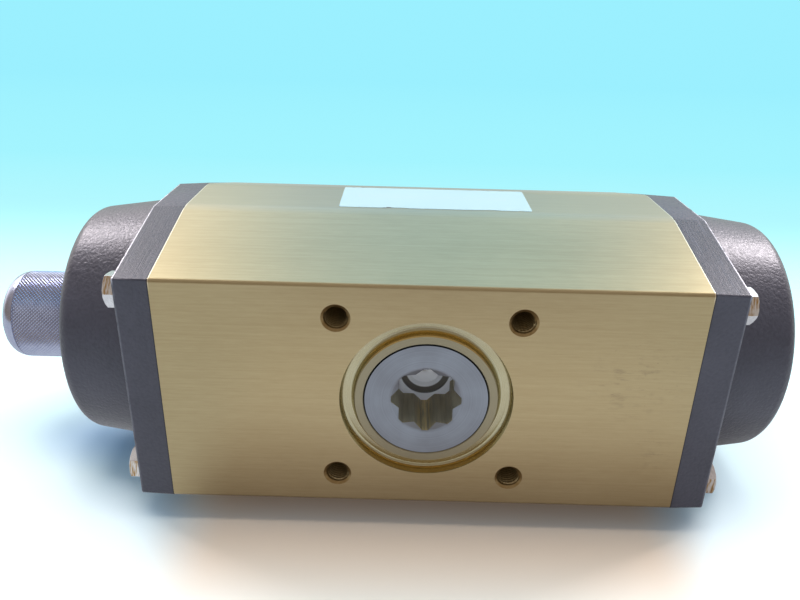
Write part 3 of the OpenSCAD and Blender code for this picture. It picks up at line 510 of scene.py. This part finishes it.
finishes = {
    "gold_anodised": goldAnodised(goldSettings),
    "turnedGold": goldTurned(turnedGoldSettings),
    "holeReflectionGold": plainMetal("goldDrilled", holeReflectionGoldSettings["pale"], holeReflectionGoldSettings["deep"],
                              holeReflectionGoldSettings["roughness"]),
    "black_coated": blackCoating(coatingSettings, "blackCoating", 0.0),
    "finelyDressedShaded": blackCoating(coatingSettings, "finelyDressedShaded", 0.35),
    "coarselyDressedShaded": blackCoating(coatingSettings, "coarselyDressedShaded", 1.0),
    "stainless": brightStainless(steelSettings),
    "reflectionStreakedSteel": reflectionStreakedSteel(reflectionStreakedSettings),
    "plated_steel": platedSteel(pinionSettings),
    "broachedSteel": broachedSteel(broachedSettings),
    "cast_aluminium": plainMetal("castAluminium", (0.52, 0.53, 0.55), (0.40, 0.41, 0.43), 0.42),
    "rubber": plainPlastic("nitrileRubber", (0.030, 0.030, 0.032), (0.018, 0.018, 0.020), 0.62),
    "bearing_plastic": plainPlastic("acetalPlastic", (0.66, 0.63, 0.54), (0.58, 0.55, 0.46), 0.45),
    "spring_steel": plainMetal("springSteel", (0.16, 0.17, 0.20), (0.08, 0.085, 0.10), 0.38),
    "brass": plainMetal("turnedBrass", (0.62, 0.46, 0.20), (0.50, 0.35, 0.13), 0.26),
    "knob_anodised": plainMetal("knobAnodised", (0.52, 0.56, 0.72), (0.44, 0.48, 0.64), 0.16,
                                (300, 300, 300)),
    "label_film": labelFilm(labelFilmSettings),
}

for part in frame["record"]["subparts"]:
    slots = cadNodes[part["node"]].data.materials
    slots.clear()
    slots.append(finishes[part["material_slot"]])
print("finishes made:", len(finishes))


# Making pieces

def deselectAll():
    if bpy.context.mode != "OBJECT":
        bpy.ops.object.mode_set(mode="OBJECT")
    bpy.ops.object.select_all(action="DESELECT")


def editAll(piece, mode="VERT"):
    deselectAll()
    bpy.context.view_layer.objects.active = piece
    piece.select_set(True)
    bpy.ops.object.mode_set(mode="EDIT")
    bpy.ops.mesh.select_mode(type=mode)
    bpy.ops.mesh.select_all(action="SELECT")


def finishEdit():
    bpy.ops.object.mode_set(mode="OBJECT")


def applyModifier(piece, kind, settings):
    deselectAll()
    bpy.context.view_layer.objects.active = piece
    piece.select_set(True)
    bpy.ops.object.modifier_add(type=kind)
    modifier = piece.modifiers[-1]
    for name, value in settings.items():
        setattr(modifier, name, value)
    bpy.ops.object.modifier_apply(modifier=modifier.name)


def smooth(piece, degrees=35):
    deselectAll()
    bpy.context.view_layer.objects.active = piece
    piece.select_set(True)
    bpy.ops.object.shade_smooth_by_angle(angle=math.radians(degrees))
    applyModifier(piece, "WEIGHTED_NORMAL", {"mode": "FACE_AREA", "weight": 50, "keep_sharp": True})


def settle(piece, name, body, slotName, replaced=()):
    # the piece's place goes into its mesh, and it rides on its body in place of its CAD nodes
    deselectAll()
    bpy.context.view_layer.objects.active = piece
    piece.select_set(True)
    bpy.ops.object.transform_apply(location=True, rotation=True, scale=True)
    piece.name = name
    piece.data.name = name
    if not piece.data.materials:
        piece.data.materials.append(finishes[slotName])
    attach(piece, body)
    if replaced:
        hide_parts(*replaced)
    return piece


def roundEdges(piece, test, width, segments):
    # rounds the edges whose two ends pass the test
    bpy.ops.object.mode_set(mode="EDIT")
    pickEdges(piece, test)
    bpy.ops.mesh.bevel(offset=width, segments=segments, affect="EDGES")
    finishEdit()


def skinOf(node, edge, angle=30, segments=2, crease=None, flatten=0.4):
    # a merged copy of a CAD node with its sharp edges broken
    deselectAll()
    source = cadNodes[node]
    source.select_set(True)
    bpy.context.view_layer.objects.active = source
    bpy.ops.object.duplicate()
    skin = bpy.context.object
    for key in list(skin.keys()):
        del skin[key]
    skin.parent = None
    editAll(skin)
    bpy.ops.mesh.remove_doubles(threshold=0.000002)
    if flatten:
        bpy.ops.mesh.dissolve_limited(angle_limit=math.radians(flatten))
    finishEdit()
    if crease:
        gatherCrease(skin)
        roundEdges(skin, crease, creaseSettings["width"], creaseSettings["segments"])
    applyModifier(skin, "BEVEL", {"width": edge, "segments": segments, "limit_method": "ANGLE",
                                  "angle_limit": math.radians(angle), "miter_outer": "MITER_ARC"})
    smooth(skin)
    return skin


def paintFaces(piece, finish, *tests):
    # gives a finish to the faces whose every corner passes one and the same test with the face's normal
    piece.data.materials.append(finish)
    last = len(piece.data.materials) - 1
    points = [vertex.co for vertex in piece.data.vertices]
    for face in piece.data.polygons:
        if any(all(test(points[i], face.normal) for i in face.vertices) for test in tests):
            face.material_index = last


def pickFaces(piece, test):
    # leaves edit mode with only the faces selected whose middle and normal pass the test
    finishEdit()
    for vertex in piece.data.vertices:
        vertex.select = False
    for edge in piece.data.edges:
        edge.select = False
    for face in piece.data.polygons:
        face.select = test(face.center, face.normal)
    scene.tool_settings.mesh_select_mode = (False, False, True)
    bpy.ops.object.mode_set(mode="EDIT")


def pickEdges(piece, test):
    # the same for the edges whose two ends pass the test
    finishEdit()
    for face in piece.data.polygons:
        face.select = False
    for vertex in piece.data.vertices:
        vertex.select = False
    for edge in piece.data.edges:
        edge.select = test(*(piece.data.vertices[i].co for i in edge.vertices))
    scene.tool_settings.mesh_select_mode = (False, True, False)
    bpy.ops.object.mode_set(mode="EDIT")


# Threads: a three-sided helix is cut out of the wall of each tapped hole

threadSettings = {
    "steps": 20,
    "valve": {"radius": 0.00425, "pitch": 0.0015, "turns": 13, "start": 0.0012},
    "port": {"radius": 0.00575, "pitch": 0.00134, "turns": 5, "start": 0.0011},
    "small": {"radius": 0.0021, "pitch": 0.0008, "turns": 9, "start": 0.0007},
}


def cutThread(piece, hole, mouth, turn):
    # mouth is the hole's mouth, and turn brings +Z to the way into the hole
    deselectAll()
    bpy.ops.mesh.primitive_circle_add(vertices=3, radius=hole["pitch"] * 0.62, fill_type="NOTHING")
    cutter = bpy.context.object
    editAll(cutter)
    bpy.ops.transform.resize(value=(1.0, 0.72, 1.0))
    bpy.ops.transform.rotate(value=math.pi / 2, orient_axis="Z", center_override=(0, 0, 0))
    bpy.ops.transform.rotate(value=math.pi / 2, orient_axis="X", center_override=(0, 0, 0))
    finishEdit()
    farthest = max(vertex.co.x for vertex in cutter.data.vertices)
    nearest = min(vertex.co.x for vertex in cutter.data.vertices)
    if farthest < -nearest:
        editAll(cutter)
        bpy.ops.transform.mirror(constraint_axis=(True, False, False))
        finishEdit()
    editAll(cutter)
    bpy.ops.transform.translate(value=(hole["radius"] - hole["pitch"] * 0.05, 0, hole["start"]))
    finishEdit()
    applyModifier(cutter, "SCREW", {"axis": "Z", "angle": 2 * math.pi, "steps": threadSettings["steps"],
                                    "render_steps": threadSettings["steps"], "screw_offset": hole["pitch"],
                                    "iterations": hole["turns"], "use_merge_vertices": False})
    editAll(cutter)
    bpy.ops.mesh.fill_holes(sides=4)
    bpy.ops.mesh.select_all(action="SELECT")
    bpy.ops.mesh.normals_make_consistent(inside=False)
    finishEdit()
    cutter.matrix_world = Matrix.Translation(mouth) @ turn
    deselectAll()
    cutter.select_set(True)
    bpy.context.view_layer.objects.active = cutter
    bpy.ops.object.transform_apply(location=True, rotation=True, scale=True)
    applyModifier(piece, "BOOLEAN", {"operation": "DIFFERENCE", "solver": "MANIFOLD", "object": cutter})
    bpy.data.objects.remove(cutter, do_unlink=True)


# The soft bend between the flat top and its two slopes, on the body and on both flanges

creaseSettings = {
    "height": 0.063,
    "places": (0.0535, 0.0925),
    "width": 0.004,
    "segments": 6,
}


def gatherCrease(piece):
    # brings the CAD's fine rounding of each bend together in one sharp edge
    c = creaseSettings
    rows = {}
    for vertex in piece.data.vertices:
        for place in c["places"]:
            if abs(vertex.co.y - place) < 0.0005 and abs(vertex.co.z) > c["height"] - 0.0008:
                rows.setdefault((round(vertex.co.x * 5000), place, vertex.co.z > 0), []).append(vertex)
    for vertices in rows.values():
        top = max(vertices, key=lambda vertex: abs(vertex.co.z)).co.z
        middle = sum(vertex.co.y for vertex in vertices) / len(vertices)
        for vertex in vertices:
            vertex.co.y = middle
            vertex.co.z = top
    editAll(piece)
    bpy.ops.mesh.remove_doubles(threshold=0.000002)
    bpy.ops.mesh.dissolve_degenerate(threshold=0.000002)
    finishEdit()


def onCrease(a, b):
    # true for an edge along X where a slope meets the flat top or the flat underside
    c = creaseSettings
    near = min(abs((a.y + b.y) / 2 - place) for place in c["places"])
    return (near < 0.0004 and abs(a.y - b.y) < 0.0002 and abs(abs(a.z) - c["height"]) < 0.0006
            and abs(a.z - b.z) < 0.0002 and abs(a.x - b.x) > 0.002)


# The gold body, with its turned groove and tapped holes

bodySettings = {
    "edge": 0.00025,
    "ringRadius": 0.0353,
    "ringDepth": 0.0056,
    "passageRadius": 0.0262,
    "holeCircle": 0.051,
    "holeRadius": 0.0059,
    "holeDepth": 0.03,
    "portPlace": (0.012, 0.073, -0.063),
    "accessoryPlace": (0.040, 0.146, 0.015),
}


def makeBody(s):
    body = skinOf("body", s["edge"], 30, 2, onCrease)
    body.data.materials.clear()
    body.data.materials.append(finishes["gold_anodised"])
    holes = [Vector((s["holeCircle"] * math.cos(a), 0, s["holeCircle"] * math.sin(a)))
             for a in (math.radians(45 + 90 * k) for k in range(4))]

    def turned(point, normal):
        r = math.hypot(point.x, point.z)
        if point.y < s["ringDepth"] and r < s["ringRadius"]:
            return True
        return point.y < s["holeDepth"] and r < s["passageRadius"]

    def drilledAt(hole):
        return lambda point, normal: (point.y < s["holeDepth"]
                                      and math.hypot(point.x - hole.x, point.z - hole.z) < s["holeRadius"])

    paintFaces(body, finishes["turnedGold"], turned)
    # the holes' walls get the gold with its painted reflection
    paintFaces(body, finishes["holeReflectionGold"], *[drilledAt(hole) for hole in holes])
    for hole in holes:
        cutThread(body, threadSettings["valve"], hole, Matrix.Rotation(-math.pi / 2, 4, "X"))
    px, py, pz = s["portPlace"]
    for side in (-1, 1):
        cutThread(body, threadSettings["port"], (side * px, py, pz), Matrix())
    ax, ay, az = s["accessoryPlace"]
    for across in (-1, 1):
        for up in (-1, 1):
            cutThread(body, threadSettings["small"], (across * ax, ay, up * az),
                      Matrix.Rotation(math.pi / 2, 4, "X"))
    smooth(body)
    return settle(body, "bodyShell", "housing", "gold_anodised", ["body"])


makeBody(bodySettings)
print("body made")


# End caps: coated castings, their slanted sides dressed finely on the left one and coarsely on the right one

capSettings = {
    "edge": 0.00035,
    "flangeEnd": 0.1210,
    "lowest": -0.0629,
}


def keepAbove(piece, lowest):
    # lays what a bevel has pushed past the piece's lowest plane back onto it
    finishEdit()
    for vertex in piece.data.vertices:
        vertex.select = vertex.co.z < lowest
    scene.tool_settings.mesh_select_mode = (True, False, False)
    bpy.ops.object.mode_set(mode="EDIT")
    bpy.ops.transform.resize(value=(1, 1, 0), center_override=(0, 0, lowest))
    finishEdit()


def makeCap(node, name, dressing, s):
    cap = skinOf(node, s["edge"], 28, 3, onCrease)
    keepAbove(cap, s["lowest"])
    cap.data.materials.clear()
    cap.data.materials.append(finishes["black_coated"])

    def slanted(point, normal):
        return abs(point.x) < s["flangeEnd"] and abs(normal.x) < 0.2 and 0.02 < abs(normal.y) < 0.5

    # the slanted sides get the dressed finish with its painted shade
    paintFaces(cap, finishes[dressing], slanted)
    return settle(cap, name, "housing", "black_coated", [node])


def makeBolts(node, name):
    # the side flats that look forwards and up carry the painted reflection in stripes
    bolts = skinOf(node, 0.00018, 30, 2)
    bolts.data.materials.clear()
    bolts.data.materials.append(finishes["stainless"])
    paintFaces(bolts, finishes["reflectionStreakedSteel"], lambda point, normal: normal.y < -0.8 and normal.z > -0.1)
    return settle(bolts, name, "housing", "stainless", [node])


makeCap("end_cap_left", "springCapLeft", "finelyDressedShaded", capSettings)
makeCap("end_cap_right", "springCapRight", "coarselyDressedShaded", capSettings)
makeBolts("cap_bolts_left", "hexBoltsLeft")
makeBolts("cap_bolts_right", "hexBoltsRight")
print("caps and bolts made")


# Pinion with its washers and ring at the accessory face

shaftSettings = {
    "edge": 0.00012,
    "socketRadius": 0.0153,
    "wallStart": 0.0009,
    "wallEnd": 0.0254,
}


def makeShaft(s):
    shaft = skinOf("pinion", s["edge"], 34, 1, None, 0)
    shaft.data.materials.clear()
    shaft.data.materials.append(finishes["plated_steel"])

    def broached(point, normal):
        within = math.hypot(point.x, point.z) < s["socketRadius"] and s["wallStart"] < point.y < s["wallEnd"]
        return within and abs(normal.y) < 0.2

    paintFaces(shaft, finishes["broachedSteel"], broached)
    return settle(shaft, "pinionShaft", "pinion", "plated_steel", ["pinion"])


makeShaft(shaftSettings)
settle(skinOf("support_washer", 0.00015), "supportWasher", "pinion", "stainless",
       ["support_washer"])
settle(skinOf("snap_ring", 0.00012), "snapRing", "pinion", "spring_steel", ["snap_ring"])
settle(skinOf("thrust_washer", 0.0002), "thrustWasher", "housing", "bearing_plastic",
       ["thrust_washer"])
print("pinion made")


# Knob: a knurled sleeve between a plain band and a rounded rim, with a cup for its screw

knobSettings = {
    "centre": (0.073, 0.0),
    "start": -0.1578,
    "bandLength": 0.0026,
    "bandRadius": 0.0206,
    "gripStart": 0.0032,
    "gripEnd": 0.0354,
    "length": 0.0422,
    "radius": 0.0212,
    "knurlDepth": 0.00048,
    "columns": 80,
    "rows": 18,
    "rimRound": 0.0068,
    "rimSteps": 9,
    "cupRadius": 0.0080,
    "cupDepth": 0.0090,
    "screwGap": 0.0043,
    "recessRadius": 0.0170,
    "recessDepth": 0.0050,
    "boreRadius": 0.00805,
    "boreDepth": 0.0260,
}


def makeKnob(s):
    deselectAll()
    valley = s["radius"] - s["knurlDepth"]
    gripLength = s["gripEnd"] - s["gripStart"]
    bpy.ops.mesh.primitive_cylinder_add(vertices=s["columns"], radius=valley, depth=gripLength,
                                        end_fill_type="NOTHING",
                                        location=(0, 0, (s["gripStart"] + s["gripEnd"]) / 2))
    knob = bpy.context.object
    bpy.ops.object.transform_apply(location=True)
    bpy.ops.object.mode_set(mode="EDIT")
    pickEdges(knob, lambda a, b: abs(a.z - b.z) > gripLength / 2)
    bpy.ops.mesh.subdivide(number_cuts=s["rows"])
    pickFaces(knob, lambda c, n: True)
    bpy.ops.mesh.poke()
    finishEdit()
    rowHeight = gripLength / (s["rows"] + 1)
    columnWidth = 2 * math.pi * valley / s["columns"]

    def gridEdge(a, b):
        # true for an edge of the first, square grid, whose loss leaves diamonds
        along = abs(a.z - b.z)
        level = (a.z - s["gripStart"]) / rowHeight
        otherLevel = (b.z - s["gripStart"]) / rowHeight
        onGrid = abs(level - round(level)) < 0.1 and abs(math.hypot(a.x, a.y) - valley) < 0.00002
        inside = s["gripStart"] + 0.0001 < (a.z + b.z) / 2 < s["gripEnd"] - 0.0001
        upright = abs(along - rowHeight) < 0.1 * rowHeight
        flat = along < 0.00001 and abs(otherLevel - round(otherLevel)) < 0.1
        return onGrid and inside and (upright or flat) and (a - b).length < 1.2 * max(rowHeight, columnWidth)

    pickEdges(knob, gridEdge)
    bpy.ops.mesh.dissolve_edges(use_verts=False)
    pickFaces(knob, lambda c, n: True)
    bpy.ops.mesh.poke(offset=s["knurlDepth"])
    finishEdit()

    def ringAt(height, radius):
        return lambda a, b: (abs(a.z - height) < 0.00003 and abs(b.z - height) < 0.00003
                             and abs(math.hypot(a.x, a.y) - radius) < 0.00006
                             and abs(math.hypot(b.x, b.y) - radius) < 0.00006)

    def follow(height, radius, profile):
        # carries an open ring on through the profile's heights and radii
        bpy.ops.object.mode_set(mode="EDIT")
        pickEdges(knob, ringAt(height, radius))
        for newHeight, newRadius in profile:
            bpy.ops.mesh.extrude_edges_move(TRANSFORM_OT_translate={"value": (0, 0, newHeight - height)})
            bpy.ops.transform.resize(value=(newRadius / radius, newRadius / radius, 1),
                                     center_override=(0, 0, newHeight))
            height, radius = newHeight, newRadius
        finishEdit()

    smoothRadius = s["radius"] - 0.0002
    rim = [(s["gripEnd"] + 0.0001, smoothRadius)]
    for k in range(1, s["rimSteps"] + 1):
        a = k / s["rimSteps"] * math.pi / 2
        rim.append((s["length"] - s["rimRound"] + s["rimRound"] * math.sin(a),
                    smoothRadius - s["rimRound"] * (1 - math.cos(a))))
    rim += [(s["length"], s["cupRadius"] + 0.0005), (s["length"] - 0.0005, s["cupRadius"]),
            (s["length"] - s["cupDepth"], s["cupRadius"]), (s["length"] - s["cupDepth"], s["screwGap"]),
            (s["boreDepth"], s["screwGap"])]
    follow(s["gripEnd"], valley, rim)
    band = [(s["gripStart"] - 0.0001, s["bandRadius"]), (s["bandLength"] - 0.0020, s["bandRadius"]),
            (0.0, s["bandRadius"] - 0.0005), (0.0, s["recessRadius"]), (s["recessDepth"], s["recessRadius"]),
            (s["recessDepth"], s["boreRadius"]), (s["boreDepth"], s["boreRadius"]),
            (s["boreDepth"], s["screwGap"])]
    follow(s["gripStart"], valley, band)
    editAll(knob)
    bpy.ops.mesh.remove_doubles(threshold=0.000005)
    bpy.ops.mesh.normals_make_consistent(inside=False)
    finishEdit()
    smooth(knob, 20)
    y, z = s["centre"]
    knob.matrix_world = Matrix.Translation((s["start"], y, z)) @ Matrix.Rotation(-math.pi / 2, 4, "Y")
    knob.data.materials.append(finishes["knob_anodised"])
    return settle(knob, "knurledKnob", "stop_knob", "knob_anodised", ["stop_knob"])


makeKnob(knobSettings)
settle(skinOf("knob_screw", 0.00025), "knobScrew", "stop_knob", "stainless", ["knob_screw"])
print("knob made")


# Label: a thin film with worn corners and a few nicks in its edges

labelSettings = {
    "segments": (120, 46),
    "corner": 0.00045,
    "nicks": [(-0.0135, 0.0050, 0.0011), (0.0262, 0.0060, 0.0009), (0.0410, 0.0016, 0.0006)],
}


def makeLabel(s):
    low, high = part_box("label")
    deselectAll()
    columns, rows = s["segments"]
    bpy.ops.mesh.primitive_grid_add(x_subdivisions=columns, y_subdivisions=rows, size=1.0)
    film = bpy.context.object
    editAll(film)
    width, depth, thick = (high[i] - low[i] for i in range(3))
    bpy.ops.transform.resize(value=(width, depth, 1))
    bpy.ops.transform.translate(value=((low[0] + high[0]) / 2, (low[1] + high[1]) / 2, low[2] + thick * 0.6))
    finishEdit()
    for vertex in film.data.vertices:
        x, y = vertex.co.x, vertex.co.y
        for nickX, half, deep in s["nicks"]:
            reach = max(0.0, 1 - ((x - nickX) / half) ** 2)
            if y - low[1] < 0.0004:
                vertex.co.y += deep * reach * (0.75 + 0.25 * math.sin(x * 9000))
        inX = min(x - low[0], high[0] - x)
        inY = min(y - low[1], high[1] - y)
        if inX < 0.0003 and inY < 0.0003:
            vertex.co.x += math.copysign(s["corner"], (low[0] + high[0]) / 2 - x)
            vertex.co.y += math.copysign(s["corner"], (low[1] + high[1]) / 2 - y)
    applyModifier(film, "SOLIDIFY", {"thickness": thick * 0.58, "offset": -1.0})
    smooth(film)
    film.data.materials.append(finishes["label_film"])
    return settle(film, "labelFilm", "housing", "label_film", ["label"])


makeLabel(labelSettings)
print("label made")


# Springs: smooth coils with closed ends, at one fixed length

springSettings = {
    "sides": 10,
    "steps": 30,
    "start": 0.05805,
    "end": 0.15095,
    "seat": 0.151,
    "keep": 0.645,
    "axisY": 0.073,
    "outer": {"wire": 0.006, "radius": 0.038, "turns": 8},
    "inner": {"wire": 0.0045, "radius": 0.0255, "turns": 10},
}


def makeSpring(kind, side, s):
    coil = s[kind]
    wire, turns = coil["wire"], coil["turns"]
    length = s["end"] - s["start"] - wire
    closed = 1.03 * wire
    pitch = length / turns
    rise = (length - 2 * closed) / (turns - 2)
    deselectAll()
    bpy.ops.mesh.primitive_circle_add(vertices=s["sides"], radius=wire / 2 * 0.985, fill_type="NOTHING")
    spring = bpy.context.object
    editAll(spring)
    bpy.ops.transform.rotate(value=math.pi / 2, orient_axis="X", center_override=(0, 0, 0))
    bpy.ops.transform.translate(value=(coil["radius"], 0, 0))
    finishEdit()
    applyModifier(spring, "SCREW", {"axis": "Z", "angle": 2 * math.pi, "steps": s["steps"],
                                    "render_steps": s["steps"], "screw_offset": pitch, "iterations": turns,
                                    "use_merge_vertices": False})
    for index, vertex in enumerate(spring.data.vertices):
        u = index // s["sides"] / s["steps"]
        if u < 1:
            height = closed * u
        elif u > turns - 1:
            height = length - closed * (turns - u)
        else:
            height = closed + rise * (u - 1)
        vertex.co.z += height - pitch * u
    editAll(spring)
    bpy.ops.mesh.fill_holes(sides=s["sides"] + 2)
    bpy.ops.mesh.select_all(action="SELECT")
    bpy.ops.mesh.normals_make_consistent(inside=False)
    finishEdit()
    smooth(spring, 50)
    spring.matrix_world = (Matrix.Translation((side * (s["start"] + wire / 2), s["axisY"], 0))
                           @ Matrix.Rotation(side * math.pi / 2, 4, "Y"))
    spring.data.materials.append(finishes["spring_steel"])
    name = {-1: "Left", 1: "Right"}[side]
    node = "spring_" + kind + "_" + name.lower()
    settle(spring, kind + "Spring" + name, "housing", "spring_steel", [node])
    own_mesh(spring)


for springKind in ("outer", "inner"):
    for springSide in (-1, 1):
        makeSpring(springKind, springSide, springSettings)
print("springs made")


# Stage and light

stageSettings = {
    "floorZ": -0.0631,
    "near": -2.0,
    "bendY": 2.2,
    "width": 5.0,
    "height": 0.8,
    "bendRadius": 0.3,
    "rampEnd": 1.6,
    "paper": [(0.00, (0.88, 0.99, 1.00)), (0.03, (0.83, 0.99, 1.00)), (0.06, (0.77, 0.99, 1.00)),
              (0.13, (0.63, 0.98, 1.00)), (0.28, (0.46, 0.95, 1.00)), (0.45, (0.37, 0.91, 1.00)),
              (1.00, (0.33, 0.87, 1.00))],
    "shade": (0.90, 0.68, 0.50),
    "shadeMiddle": 0.005,
    "shadeAcross": (0.128, 0.088),
    "shadeAhead": (-0.085, -0.005),
    "blueShade": (0.52, 0.72, 0.92),
    "blueMiddle": (-0.155, 0.060, -0.0631),
    "blueReach": (0.050, 0.034, 0.1),
    "backdropStart": 0.10,
    "backdropWhole": 0.50,
    "mirrorEnds": (0.72, 0.74, 0.76),
    "mirrorFar": (0.46, 0.58, 0.62),
    "mirrorFarSide": (0.64, 0.77, 0.70),
    "mirrorNear": [(0.00, (0.48, 0.46, 0.48)), (0.50, (0.54, 0.51, 0.52)), (0.70, (0.88, 0.88, 0.88)),
                   (0.82, (0.92, 0.91, 0.92)), (0.90, (0.50, 0.43, 0.40)), (1.00, (0.17, 0.13, 0.11))],
}


def sweepPaper(s):
    # the paper's colour deepens with the distance and carries painted shadows near the body, and metal
    # mirrors a painted version of it, with painted shadow close in front of the body and painted brightness
    # past its ends
    material, place = startFinish("sweepPaper")
    x, y, _ = place.split()
    colour = place.node("ShaderNodeValToRGB", {"stops": s["paper"]}, {"Fac": y / s["rampEnd"]})
    # painted shadow of the body on the paper under and in front of it, dark and warm
    frontShadow = (x - s["shadeMiddle"]).size().rise(*s["shadeAcross"]) * y.rise(*s["shadeAhead"])
    shadowedPaper = (frontShadow * 0.9).tint(colour, rgb(s["shade"]))
    # painted blue shadow on the paper beside the left drum
    blueShadowSpot = place.spot(s["blueMiddle"], s["blueReach"], 0.9)
    shadowedPaper = (blueShadowSpot * 0.8).tint(shadowedPaper, rgb(s["blueShade"]))
    # painted reflection: what metal mirrors of the paper, with a painted shadow close in front of the body
    near = (y + 0.5) * 2.0
    mirror = place.node("ShaderNodeValToRGB", {"stops": s["mirrorNear"]}, {"Fac": near})
    # painted reflection: brighter past the body's ends
    ends = (x * -1.0).rise(0.088, 0.125).most(x.rise(0.12, 0.20))
    mirror = ends.tint(mirror, rgb(s["mirrorEnds"]))
    distant = x.size().rise(0.20, 0.65).tint(rgb(s["mirrorFar"]), rgb(s["mirrorFarSide"]))
    mirror = y.rise(0.0, 0.30).tint(mirror, distant)
    rays = material.node_tree.nodes.new("ShaderNodeLightPath").outputs
    camera, through, glossy = (Wire(material.node_tree, rays["Is " + kind + " Ray"])
                               for kind in ("Camera", "Transmission", "Glossy"))
    seen = camera.most(through)
    far = y.rise(s["backdropStart"], s["backdropWhole"])
    paper = place.node("ShaderNodeBsdfDiffuse", None, {"Color": shadowedPaper})
    backdrop = place.node("ShaderNodeEmission", None, {"Color": colour, "Strength": 1.0})
    mirrored = place.node("ShaderNodeEmission", None, {"Color": mirror, "Strength": 1.0})
    mixed = place.node("ShaderNodeMixShader", None, {0: seen * far, 1: paper, 2: backdrop})
    mixed = place.node("ShaderNodeMixShader", None, {0: glossy, 1: mixed, 2: mirrored})
    connectOutput(material, mixed)
    return material


def addSweep(s):
    deselectAll()
    bpy.ops.mesh.primitive_plane_add(size=1.0)
    sweep = bpy.context.object
    editAll(sweep, "EDGE")
    bpy.ops.transform.resize(value=(s["width"], s["bendY"] - s["near"], 1))
    bpy.ops.transform.translate(value=(0, (s["bendY"] + s["near"]) / 2, s["floorZ"]))
    pickEdges(sweep, lambda a, b: min(a.y, b.y) > s["bendY"] - 0.01)
    bpy.ops.mesh.extrude_edges_move(TRANSFORM_OT_translate={"value": (0, 0, s["height"])})
    pickEdges(sweep, lambda a, b: min(a.y, b.y) > s["bendY"] - 0.01 and max(a.z, b.z) < 0)
    bpy.ops.mesh.bevel(offset=s["bendRadius"], segments=16, affect="EDGES")
    finishEdit()
    smooth(sweep, 60)
    sweep.name = "sweep"
    sweep.data.materials.append(sweepPaper(s))


lightSettings = {
    "lamps": [
        {"name": "lampLeft", "place": (-0.725, 0.45, 0.76), "aim": (-0.05, 0.05, 0), "size": (0.30, 0.30),
         "power": 6.2, "colour": (1.0, 0.93, 0.94), "mirrored": True},
        {"name": "lampRight", "place": (0.76, 0.45, 0.74), "aim": (0.05, 0.05, 0), "size": (0.30, 0.30),
         "power": 7.6, "colour": (1.0, 0.93, 0.94), "mirrored": True},
        {"name": "above", "place": (0.0, 0.14, 1.05), "aim": (0, 0.05, 0), "size": (1.1, 0.6),
         "power": 9.5, "colour": (1.0, 0.92, 0.80), "mirrored": False},
        {"name": "fill", "place": (-0.01, -0.52, 0.17), "aim": (0, 0.0, 0), "size": (0.12, 0.12),
         "power": 0.35, "colour": (0.95, 0.98, 1.0), "mirrored": False},
    ],
    "worldStrength": 0.66,
    "worldColour": (0.50, 0.68, 0.90),
    "clearColour": (0.32, 0.87, 1.0),
    "mirrorFront": (0.17, 0.135, 0.105),
    "mirrorFrontHigh": (0.21, 0.18, 0.16),
    "mirrorStrength": 2.0,
    "mirrorBack": [(0.10, (0.94, 0.90, 0.86)), (0.20, (0.74, 0.77, 0.78)), (0.26, (0.50, 0.62, 0.71)),
                   (0.33, (0.41, 0.59, 0.78)), (0.41, (0.315, 0.515, 0.72)), (0.50, (0.270, 0.482, 0.69)),
                   (0.62, (0.300, 0.515, 0.70)), (0.69, (0.300, 0.52, 0.69)), (0.76, (0.320, 0.49, 0.67)),
                   (0.82, (0.330, 0.48, 0.65)), (0.88, (0.58, 0.67, 0.70)), (0.98, (0.80, 0.80, 0.80))],
}


def addLamp(s):
    deselectAll()
    bpy.ops.object.light_add(type="AREA", location=s["place"])
    lamp = bpy.context.object
    lamp.name = s["name"]
    lamp.data.shape = "RECTANGLE"
    lamp.data.size = s["size"][0]
    lamp.data.size_y = s["size"][1]
    lamp.data.energy = s["power"]
    lamp.data.color = s["colour"]
    lamp.visible_glossy = s["mirrored"]
    lamp.rotation_euler = (Vector(s["aim"]) - Vector(s["place"])).to_track_quat("-Z", "Y").to_euler()


def paintWorld(s):
    # light from all round, a clear colour for the camera, and what metal mirrors above the paper
    world = bpy.data.worlds.new("studio")
    scene.world = world
    world.use_nodes = True
    tree = world.node_tree
    tree.nodes.clear()
    way = Wire(tree, tree.nodes.new("ShaderNodeTexCoord").outputs["Generated"])
    x, y, z = way.split()
    back = y.rise(0.0, 0.55)
    seen = way.node("ShaderNodeValToRGB", {"stops": s["mirrorBack"]}, {"Fac": x + 0.5})
    ahead = z.rise(0.15, 0.65).tint(rgb(s["mirrorFront"]), rgb(s["mirrorFrontHigh"]))
    seen = back.tint(ahead, seen)

    def glow(colour, strength):
        return way.node("ShaderNodeBackground", None, {"Color": colour, "Strength": strength})

    light = glow(rgb(s["worldColour"]), s["worldStrength"])
    mirrored = glow(seen, s["mirrorStrength"])
    clear = glow(rgb(s["clearColour"]), 1.0)
    rays = tree.nodes.new("ShaderNodeLightPath").outputs
    glossy = Wire(tree, rays["Is Glossy Ray"])
    camera = Wire(tree, rays["Is Camera Ray"])
    mixed = way.node("ShaderNodeMixShader", None, {0: glossy, 1: light, 2: mirrored})
    mixed = way.node("ShaderNodeMixShader", None, {0: camera, 1: mixed, 2: clear})
    output = tree.nodes.new("ShaderNodeOutputWorld")
    tree.links.new(mixed.socket, output.inputs["Surface"])


addSweep(stageSettings)
for lampSettings in lightSettings["lamps"]:
    addLamp(lampSettings)
paintWorld(lightSettings)
print("stage and light set")
